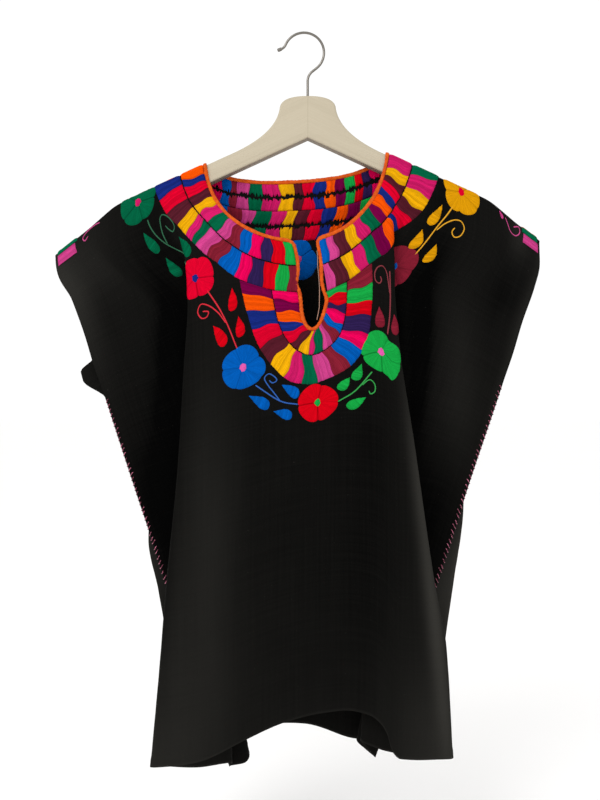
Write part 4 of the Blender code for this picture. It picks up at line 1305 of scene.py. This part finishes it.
def sew_leaf(sewing, leaf, seed):
    """A drop, pointed at its first end and round at the other, of threads laid across it."""
    rng = np.random.default_rng(seed)
    way = np.array((leaf.s_end - leaf.s, leaf.t_end - leaf.t))
    long = np.linalg.norm(way)
    wide = LEAF_WIDE * rng.uniform(0.92, 1.08) * min(1.0, long / 18)
    way = way / long
    threads = round(long / THREAD_WIDE)
    rows = 2 * threads + 1
    x = np.linspace(0.0, 1.0, rows)[:, None]
    ragged = np.repeat(rng.uniform(-0.3, 0.3, threads + 1), 2)[:rows, None]
    half = wide / 2 * (x + 0.01) ** 1.25 * np.sqrt(1.001 - x) / 0.355 + ragged * np.sqrt(x * (1 - x)) * 2
    y = np.linspace(-1.0, 1.0, 9)
    along, over = x * long + y * half * 0.25, y * half
    s = leaf.s + along * way[0] - over * way[1]
    t = leaf.t + along * way[1] + over * way[0]
    odd = (np.arange(rows) % 2)[:, None]
    ends = np.minimum(1.0, np.minimum(x, 1 - x) * 9)
    lift = SUNK + (LEAF_HIGH + FINE_THREAD_PROUD * odd) * (1.0 - np.abs(y) ** 7) * ends
    # The threads' random brightness, with painted light on the raised threads and painted shade in the
    # grooves
    shade = np.repeat(strand_shade(threads + 1, seed), 2)[:rows, None] * np.where(odd > 0, *RIDGE_LIGHT_GROOVE_SHADE)
    sewing.patch(s, t, lift, leaf.dye, x * long, y * half, shade)


# A stem runs from one flower towards the next, and its tendril leaves it and curls round
Stem = namedtuple("Stem", "panel dye stem curl")
STEMS = (
    Stem(
        "front", "g", ((-181, 44), (-171, 76), (-152, 98), (-133, 118)),
        (
            (-170, 76), (-168, 66), (-166, 56), (-165, 49), (-162, 46), (-156, 50), (-151, 58), (-150, 65),
            (-155, 68), (-159, 63), (-161, 58),
        ),
    ),
    Stem(
        "front", "e", ((-121, 144), (-100, 186), (-87, 220)),
        (
            (-99, 190), (-109, 175), (-118, 165), (-127, 160), (-131, 167), (-127, 175), (-121, 176),
            (-119, 171), (-126, 168),
        ),
    ),
    Stem(
        "front", "b", ((-68, 264), (-40, 288), (-19, 296)),
        (
            (-40, 288), (-47, 277), (-53, 268), (-57, 259), (-52, 255), (-46, 259), (-43, 264), (-48, 266),
            (-52, 262),
        ),
    ),
    Stem(
        "front", "l", ((67, 262), (46, 286), (26, 298)),
        ((54, 279), (63, 272), (69, 276), (69, 284), (64, 288), (62, 284)),
    ),
    Stem(
        "front", "w", ((92, 140), (91, 156), (89, 190), (86, 213)),
        (
            (90, 166), (89, 152), (88, 143), (84, 139), (78, 142), (74, 149), (74, 157), (78, 160),
            (81, 156), (80, 151),
        ),
    ),
    Stem(
        "front", "y", ((192, 36), (175, 68), (171, 104)),
        ((176, 70), (183, 60), (193, 52), (202, 50), (207, 56), (205, 65), (199, 69), (194, 65), (196, 59)),
    ),
    Stem(
        "back", "b", ((-14, 140), (-38, 142), (-68, 128)),
        ((-38, 142), (-30, 158), (-36, 170), (-48, 170), (-50, 160), (-42, 158)),
    ),
    Stem(
        "back", "l", ((24, 128), (48, 140), (80, 128)),
        ((52, 140), (42, 158), (50, 172), (62, 172), (62, 162), (54, 162)),
    ),
    Stem(
        "back", "s", ((-106, 102), (-132, 96), (-160, 78)),
        ((-132, 96), (-124, 112), (-130, 124), (-142, 122), (-142, 112), (-134, 112)),
    ),
    Stem(
        "back", "u", ((122, 100), (146, 94), (170, 76)),
        ((146, 94), (138, 110), (144, 122), (156, 120), (156, 110), (148, 110)),
    ),
)
STEM_WIDE = 1.7
STEM_HIGH = 0.62
STEM_TWIST = 2.4
STEM_STEP = 0.8
# How far the stems are painted paler, as sheen
STEM_PAINTED_SHEEN = 0.08
CURL_THINNER = 0.9


def sew_line(sewing, line, dye, wide=STEM_WIDE):
    """A line of stem stitch: a thin rope of slanting stitches along the line."""
    line = evenly(line, STEM_STEP)
    way = np.gradient(line, axis=0)
    way /= np.linalg.norm(way, axis=1, keepdims=True)
    place = (np.arange(len(line)) * STEM_STEP)[:, None]
    y = np.array((-1.0, -0.6, 0.0, 0.6, 1.0))
    slant = np.cos(math.tau * place / STEM_TWIST + 1.6 * y)
    ends = np.minimum(1.0, np.minimum(place, place[::-1]) / (2 * STEM_STEP))
    over = y * wide / 2 * (1.0 + 0.10 * slant) * (0.4 + 0.6 * ends)
    s = line[:, :1] - over * way[:, 1:]
    t = line[:, 1:] + over * way[:, :1]
    lift = SUNK + (wide * STEM_HIGH) * np.sqrt(1.0 - 0.999 * y ** 2) * (1.0 + 0.12 * slant) * ends
    # Painted light and sheen: the stitches are lighter where they rise, and the whole stem is paler
    sewing.patch(s, t, lift, dye, place, over, 1.0 + 0.08 * slant, STEM_PAINTED_SHEEN)


def garland(panel, inside=False):
    sewing = Sewing("garland_" + panel + ("_inside" if inside else ""), panel, inside)
    for stem in STEMS:
        if stem.panel == panel:
            sew_line(sewing, through(stem.stem), stem.dye)
            sew_line(sewing, through(stem.curl), stem.dye, STEM_WIDE * CURL_THINNER)
    for seed, leaf in enumerate(LEAVES):
        if leaf.panel == panel:
            sew_leaf(sewing, leaf, 50 + seed)
    for seed, flower in enumerate(FLOWERS):
        if flower.panel == panel:
            sew_flower(sewing, flower, 90 + seed)
    return sewing.joined(stranded_cotton)


for panel in ("front", "back"):
    garland(panel)
    garland(panel, inside=True)

# ---------------------------------------------------------------- the sleeve tips
# A small patch of satin blocks at each sleeve's edge, over the shoulder fold, with a tendril beside it.

TipBlock = namedtuple("TipBlock", "panel s t s_end t_end dye")
TIP_BLOCKS = (
    TipBlock("front", -281, 0.2, -311, 8, "g"), TipBlock("front", -284, 8.4, -311, 21, "c"),
    TipBlock("front", 287, 0.2, 311, 2.6, "o"), TipBlock("front", 288, 3, 311, 10.4, "g"),
    TipBlock("front", 290, 10.8, 312, 22.5, "c"),
    TipBlock("back", -281, 0.2, -311, 9, "o"), TipBlock("back", -284, 9.4, -311, 20, "g"),
    TipBlock("back", 286, 0.2, 311, 10, "u"), TipBlock("back", 288, 10.4, 311, 21, "b"),
)
TIP_TENDRILS = (
    ("front", ((-246, 13), (-254, 9), (-265, 7), (-273, 10), (-271, 15), (-265, 13))),
    ("front", ((262, 13), (266, 18), (270, 24), (279, 22), (285, 14), (283, 8), (275, 14))),
    ("back", ((-246, 13), (-256, 8), (-268, 8), (-273, 14), (-267, 18), (-262, 14))),
    ("back", ((246, 13), (256, 8), (268, 8), (273, 14), (267, 18), (262, 14))),
)

for panel in ("front", "back"):
    sewing = Sewing("sleeve_tips_" + panel, panel)
    for seed, block in enumerate((b for b in TIP_BLOCKS if b.panel == panel), 700):
        near = evenly([(block.s, block.t), (block.s, block.t_end)], 1.0)
        far = evenly([(block.s_end, block.t), (block.s_end, block.t_end)], 1.0)
        all_along = (0.0, block.t_end - block.t)
        satin_block(sewing, near, far, all_along, all_along, block.dye, seed)
    for side, curl in TIP_TENDRILS:
        if side == panel:
            sew_line(sewing, through(curl), "c", STEM_WIDE * CURL_THINNER)
    sewing.joined(stranded_cotton)

# ---------------------------------------------------------------- the side seams
# The front and back edges are whipped together below the armholes with pink thread, in slanting
# stitches over the edge.

SEAM_FROM = 187.0
SEAM_UP_FROM_HEM = 14.0
SEAM_STITCH_APART = 6.2
SEAM_THREAD = 0.42
SEAM_START = 2.9
SEAM_PAST_EDGE = 1.1
SEAM_OVER_EDGE = 2.5

rng = np.random.default_rng(5)
tubes = []
for side in (-1, 1):
    t = np.arange(SEAM_FROM, LENGTH - SEAM_UP_FROM_HEM, SEAM_STITCH_APART)
    t = t + rng.uniform(-0.9, 0.9, len(t))
    start = side * (HALF_WIDTH - SEAM_START + rng.uniform(-0.8, 0.8, len(t)))
    near_edge, edge, inland = side * (HALF_WIDTH - 0.8), side * HALF_WIDTH, side * (HALF_WIDTH - 6.0)
    over = t + SEAM_OVER_EDGE
    middle = (on_cloth("front", edge, over, 0.0) + on_cloth("back", edge, over, 0.0)) / 2
    past = middle - (on_cloth("front", inland, over, 0.0) + on_cloth("back", inland, over, 0.0)) / 2
    past *= SEAM_PAST_EDGE * MM / np.linalg.norm(past, axis=1, keepdims=True)
    route = np.stack([
        on_cloth("front", start, t, 0.3), on_cloth("front", start + side * 1.2, t + 0.5, 1.0),
        on_cloth("front", near_edge, t + 1.8, 1.0), middle + past, on_cloth("back", near_edge, t + 3.4, 1.0),
        on_cloth("back", start + side * 1.2, t + 4.6, 1.0), on_cloth("back", start, t + 5.2, 0.3),
    ])
    way = np.gradient(route, axis=0)
    way /= np.linalg.norm(way, axis=2, keepdims=True)
    level = np.cross(way, (0.0, 0.0, 1.0))
    level /= np.linalg.norm(level, axis=2, keepdims=True)
    upright = np.cross(level, way)
    turn = np.arange(6)[:, None, None, None] * math.tau / 6
    rings = route + SEAM_THREAD * MM * (level * np.cos(turn) + upright * np.sin(turn))
    tubes += [rings[:, :, k].transpose(1, 0, 2).tolist() for k in range(len(t))]
seam_stitches = closed_tube("side_seam_stitches", tubes)

# Pink pearl cotton, two strands, twisted. The twist is 0.5 mm apart and drawn as a soft mottle of dark red
# and pale pink, the pale pink a painted highlight on the strands.
pink_thread, tree, shader = new_material("pink pearl cotton")
place = add(tree, "TexCoord").outputs["Object"]
twist = add(tree, "TexNoise", {"Vector": place, "Scale": 500.0, "Detail": 2.0}).outputs["Fac"]
paler = add(tree, "MapRange", {"Value": twist, "From Min": 0.4, "From Max": 0.65}).outputs[0]
# The paler colour is a painted highlight on the twisted strands
dyed = add(tree, "Mix", {0: paler, 6: linear("64122F"), 7: linear("D0708E")}, data_type="RGBA").outputs[2]
tree.links.new(dyed, shader.inputs["Base Color"])
shader.inputs["Roughness"].default_value = 0.7
shader.inputs["Sheen Weight"].default_value = 0.15
seam_stitches.data.materials.append(pink_thread)
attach(seam_stitches, "root")

# ---------------------------------------------------------------- the slit's loose thread
# One pale thread along the right edge of the slit, where the edging's stitches come through.

LOOSE_RADIUS = 0.45
LOOSE_DEPTH = -0.6

loose_line = evenly([(11.0, 122.0), (9.0, 140.0), (9.0, 165.0), (8.0, 188.0), (5.0, 202.0)], 3.0)
ring = np.arange(6) * math.tau / 6
ring_s, ring_lift = LOOSE_RADIUS * np.cos(ring), LOOSE_DEPTH + LOOSE_RADIUS * np.sin(ring)
tube = [on_cloth("front", s + ring_s, t, ring_lift).tolist() for s, t in loose_line]
loose_thread = closed_tube("slit_thread", [tube])

# Undyed cotton thread, waxed, a pale brown. Its twist is drawn 0.7 mm apart, a little coarser than it is.
plain_thread, tree, shader = new_material("undyed cotton thread")
place = add(tree, "TexCoord").outputs["Object"]
twist = add(tree, "TexNoise", {"Vector": place, "Scale": 1400.0, "Detail": 2.0}).outputs["Fac"]
dyed = add(tree, "Mix", {0: twist, 6: linear("7E5D4D"), 7: linear("B5917D")}, data_type="RGBA").outputs[2]
tree.links.new(dyed, shader.inputs["Base Color"])
shader.inputs["Roughness"].default_value = 0.7
loose_thread.data.materials.append(plain_thread)
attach(loose_thread, "root")

# ---------------------------------------------------------------- the hanger
# Two arms of pale wood, glued at the middle under the hump, sawn from board, sanded and whitewashed.
# Each arm ends round, under the cloth, and the wire's hole runs down the middle of the hump.

WOOD_HALF_SPAN = 197.0
WOOD_EDGE_ROUND = 2.5
ARM_HEIGHT = 22.6
HUMP_TOP = -75.2
HUMP_CROWN = (30.5, HUMP_TOP)
HUMP_SHOULDER = (32.8, -88.5)
HUMP_FLANK = (36.5, -121.0)
HUMP_FOOT = 96.0
HUMP_STEPS = 14
FLANK_STEPS = 18
NOSE_STEPS = 14
WIRE_RADIUS = 1.5
HOOK_STEM_DEPTH = 16.0
HOLE_RADIUS = WIRE_RADIUS + 0.45


def bezier(start, control, end, steps):
    """Points of a curve with one control point, after its start and up to its end."""
    start, control, end = np.array((start, control, end))
    u = np.linspace(0.0, 1.0, steps + 1)[1:, None]
    return ((1 - u) ** 2 * start + 2 * u * (1 - u) * control + u * u * end).tolist()


hump_top = (0.0, HUMP_TOP)
foot = (HUMP_FOOT, ARM_TOP_AT_AXIS - ARM_SLOPE * HUMP_FOOT)
half = [hump_top] + bezier(hump_top, HUMP_CROWN, HUMP_SHOULDER, HUMP_STEPS)
half += bezier(HUMP_SHOULDER, HUMP_FLANK, foot, FLANK_STEPS)
arm_turn = math.atan(ARM_SLOPE)
nose = ARM_HEIGHT / 2
nose_x = WOOD_HALF_SPAN - nose
nose_z = ARM_TOP_AT_AXIS - ARM_SLOPE * WOOD_HALF_SPAN + ARM_SLOPE * nose - nose
nose_radius = nose * math.cos(arm_turn)
for a in np.linspace(math.pi / 2, -math.pi / 2, NOSE_STEPS) - arm_turn:
    half.append((nose_x + nose_radius * math.cos(a), nose_z + nose_radius * math.sin(a)))
half.append((0.0, ARM_TOP_AT_AXIS - ARM_HEIGHT))
face_line = [(WOOD_X + x, z) for x, z in half] + [(WOOD_X - x, z) for x, z in half[-2:0:-1]]

bpy.ops.object.select_all(action="DESELECT")
bpy.ops.mesh.primitive_circle_add(vertices=len(face_line), radius=1.0, fill_type="NGON")
wood = bpy.context.object
wood.name = "hanger_wood"
for corner, (x, z) in zip(wood.data.vertices, face_line):
    corner.co = (x * MM, -WOOD_HALF_THICK * MM, z * MM)
bpy.ops.object.mode_set(mode="EDIT")
bpy.ops.mesh.select_all(action="SELECT")
bpy.ops.mesh.extrude_region_move(TRANSFORM_OT_translate={"value": (0.0, 2 * WOOD_HALF_THICK * MM, 0.0)})
bpy.ops.mesh.select_all(action="SELECT")
bpy.ops.mesh.normals_make_consistent(inside=False)
bpy.ops.object.mode_set(mode="OBJECT")
sanded = wood.modifiers.new("sanded edges", "BEVEL")
sanded.width = WOOD_EDGE_ROUND * MM
sanded.segments = 4
sanded.limit_method = "ANGLE"
sanded.angle_limit = math.radians(50)
bpy.ops.object.modifier_apply(modifier="sanded edges")

bpy.ops.mesh.primitive_cylinder_add(
    vertices=24,
    radius=HOLE_RADIUS * MM,
    depth=2 * (HOOK_STEM_DEPTH + 2.0) * MM,
    location=(WOOD_X * MM, 0.0, HUMP_TOP * MM),
)
drill = bpy.context.object
hole = wood.modifiers.new("hole", "BOOLEAN")
hole.operation = "DIFFERENCE"
hole.object = drill
bpy.ops.object.select_all(action="DESELECT")
wood.select_set(True)
bpy.context.view_layer.objects.active = wood
bpy.ops.object.modifier_apply(modifier="hole")
bpy.data.objects.remove(drill)
bpy.ops.object.shade_smooth_by_angle(angle=math.radians(35))

# Whitewashed beech: a thin milky wash over a pale grain that runs along each arm. The rings are 6 mm
# apart, with finer streaks between them, and the joint shows as a faint line up the middle.
white_wood, tree, shader = new_material("whitewashed beech")
place = add(tree, "TexCoord").outputs["Object"]
axes = add(tree, "SeparateXYZ", {0: place}).outputs
from_middle = add(tree, "Math", {0: axes["X"], 1: WOOD_X * MM}, operation="SUBTRACT").outputs[0]
arm_way = add(tree, "Math", {0: from_middle}, operation="ABSOLUTE").outputs[0]
folded = add(tree, "CombineXYZ", {"X": arm_way, "Y": axes["Y"], "Z": axes["Z"]}).outputs[0]
turned = add(tree, "VectorRotate", {"Vector": folded, "Angle": -arm_turn}, rotation_type="Y_AXIS").outputs[0]
ring_way = add(tree, "Mapping", {"Vector": turned, "Scale": (3.0, 60.0, 160.0)}).outputs[0]
rings = add(tree, "TexNoise", {"Vector": ring_way, "Scale": 1.0, "Detail": 3.0}).outputs["Fac"]
fine_way = add(tree, "Mapping", {"Vector": turned, "Scale": (14.0, 700.0, 900.0)}).outputs[0]
fine = add(tree, "TexNoise", {"Vector": fine_way, "Scale": 1.0, "Detail": 2.0}).outputs["Fac"]
grain = add(tree, "Math", {0: rings, 1: fine}, operation="ADD").outputs[0]
grain = add(tree, "MapRange", {"Value": grain, "From Min": 0.6, "From Max": 1.4}).outputs[0]
wash = {0: grain, 6: linear("ABA18C"), 7: linear("B5AB96")}
washed = add(tree, "Mix", wash, data_type="RGBA", label="wash").outputs[2]
glued = {"Value": arm_way, "From Min": 0.0002, "From Max": 0.0007, "To Min": 0.18, "To Max": 0.0}
joint = add(tree, "MapRange", glued).outputs[0]
toned = add(tree, "Mix", {0: joint, 6: washed, 7: linear("776C56")}, data_type="RGBA").outputs[2]
tree.links.new(toned, shader.inputs["Base Color"])
shader.inputs["Roughness"].default_value = 0.62
shader.inputs["Specular IOR Level"].default_value = 0.2
bump = add(tree, "Bump", {"Height": grain, "Strength": 0.25, "Distance": 0.0004})
tree.links.new(bump.outputs[0], shader.inputs["Normal"])

# Painted shade on the undersides: a greyer and darker copy of the whitewashed beech, with the same grain.
shaded_underside_wood = white_wood.copy()
shaded_underside_wood.name = "beech in painted shade"
shaded_wash = next(node for node in shaded_underside_wood.node_tree.nodes if node.label == "wash")
shaded_wash.inputs[6].default_value = linear("7C7264")
shaded_wash.inputs[7].default_value = linear("8A7F70")

UNDERSIDE = -0.8
wood.data.materials.append(white_wood)
wood.data.materials.append(shaded_underside_wood)
# Faces turned downwards get the copy in painted shade
for face in wood.data.polygons:
    face.material_index = int(face.normal.z < UNDERSIDE)
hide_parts("hanger")
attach(wood, "root")

# ---------------------------------------------------------------- the hook
# One length of bright plated steel wire. Its stem is driven into the top of the hump, then it leans
# over and turns into the ring, and its end is flared out and capped.

HOOK_RADIUS = 23.6
STEM_FOOT = HUMP_TOP - HOOK_STEM_DEPTH
LEAN_RADIUS = 14.0
LEAN_TURN = 52.0
LEAN_STEPS = 10
LEAN_STRAIGHT = 6.03
RING_MIDDLE_Z = WIRE_RADIUS - HOOK_RADIUS
RING_TURN = 209.0
RING_STEPS = 48
END_RADIUS = 9.0
END_TURN = 45.0
END_STEPS = 8
CAP_WIDER = 1.4
CAP_LONG = 4.2
CAP_ROUND = 0.8
CAP_NARROWS = 0.6
WIRE_SIDES = 16


def extrude_wire(right, up):
    """Push the wire's open end on by a distance to the right and up, in millimetres."""
    bpy.ops.mesh.extrude_region_move(TRANSFORM_OT_translate={"value": (right * MM, 0.0, up * MM)})


def bend_wire(middle_x, middle_z, degrees, steps):
    """Turn the wire's open end about a middle. Positive turns go right over the top."""
    middle = (middle_x * MM, 0.0, middle_z * MM)
    bpy.ops.mesh.spin(steps=steps, angle=math.radians(-degrees), center=middle, axis=(0.0, 1.0, 0.0))


ring_start = math.radians(-LEAN_TURN)
lean_right, lean_up = math.sin(math.radians(LEAN_TURN)), math.cos(math.radians(LEAN_TURN))
stem_top = RING_MIDDLE_Z + HOOK_RADIUS * math.sin(ring_start) - LEAN_STRAIGHT * lean_up
stem_top -= LEAN_RADIUS * lean_right
ring_end = math.radians(RING_TURN - LEAN_TURN)
end_reach = HOOK_RADIUS + END_RADIUS

bpy.ops.object.select_all(action="DESELECT")
bpy.ops.mesh.primitive_circle_add(
    vertices=WIRE_SIDES,
    radius=WIRE_RADIUS * MM,
    fill_type="NOTHING",
    location=(WOOD_X * MM, 0.0, STEM_FOOT * MM),
)
hook = bpy.context.object
hook.name = "hook_wire"
bpy.ops.object.transform_apply(location=True, rotation=True, scale=True)
bpy.ops.object.mode_set(mode="EDIT")
bpy.ops.mesh.select_all(action="SELECT")
extrude_wire(0.0, stem_top - STEM_FOOT)
bend_wire(WOOD_X + LEAN_RADIUS, stem_top, LEAN_TURN, LEAN_STEPS)
extrude_wire(LEAN_STRAIGHT * lean_right, LEAN_STRAIGHT * lean_up)
bend_wire(0.0, RING_MIDDLE_Z, -RING_TURN, RING_STEPS)
bend_wire(end_reach * math.cos(ring_end), RING_MIDDLE_Z + end_reach * math.sin(ring_end), END_TURN, END_STEPS)
end_heading = math.radians(360.0 - (RING_TURN - LEAN_TURN) + END_TURN)
cap_right, cap_up = math.sin(end_heading), math.cos(end_heading)
extrude_wire(0.0, 0.0)
bpy.ops.transform.resize(value=(CAP_WIDER, CAP_WIDER, CAP_WIDER))
extrude_wire(CAP_LONG * cap_right, CAP_LONG * cap_up)
extrude_wire(CAP_ROUND * cap_right, CAP_ROUND * cap_up)
bpy.ops.transform.resize(value=(CAP_NARROWS, CAP_NARROWS, CAP_NARROWS))
bpy.ops.mesh.edge_face_add()
bpy.ops.mesh.select_all(action="DESELECT")
bpy.ops.mesh.select_non_manifold()
bpy.ops.mesh.edge_face_add()
bpy.ops.mesh.select_all(action="SELECT")
bpy.ops.mesh.normals_make_consistent(inside=False)
bpy.ops.object.mode_set(mode="OBJECT")
bpy.ops.object.shade_smooth_by_angle(angle=math.radians(40))

# Bright nickel-plated steel: smooth, and a little duller in soft patches.
plated_wire, tree, shader = new_material("nickel-plated steel")
place = add(tree, "TexCoord").outputs["Object"]
dull = add(tree, "TexNoise", {"Vector": place, "Scale": 60.0, "Detail": 1.0}).outputs["Fac"]
drawn = {"Value": dull, "From Min": 0.3, "From Max": 0.7, "To Min": 0.22, "To Max": 0.30}
tree.links.new(add(tree, "MapRange", drawn).outputs[0], shader.inputs["Roughness"])
shader.inputs["Base Color"].default_value = linear("77736D")
shader.inputs["Metallic"].default_value = 1.0
hook.data.materials.append(plated_wire)
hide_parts("hook")
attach(hook, "root")
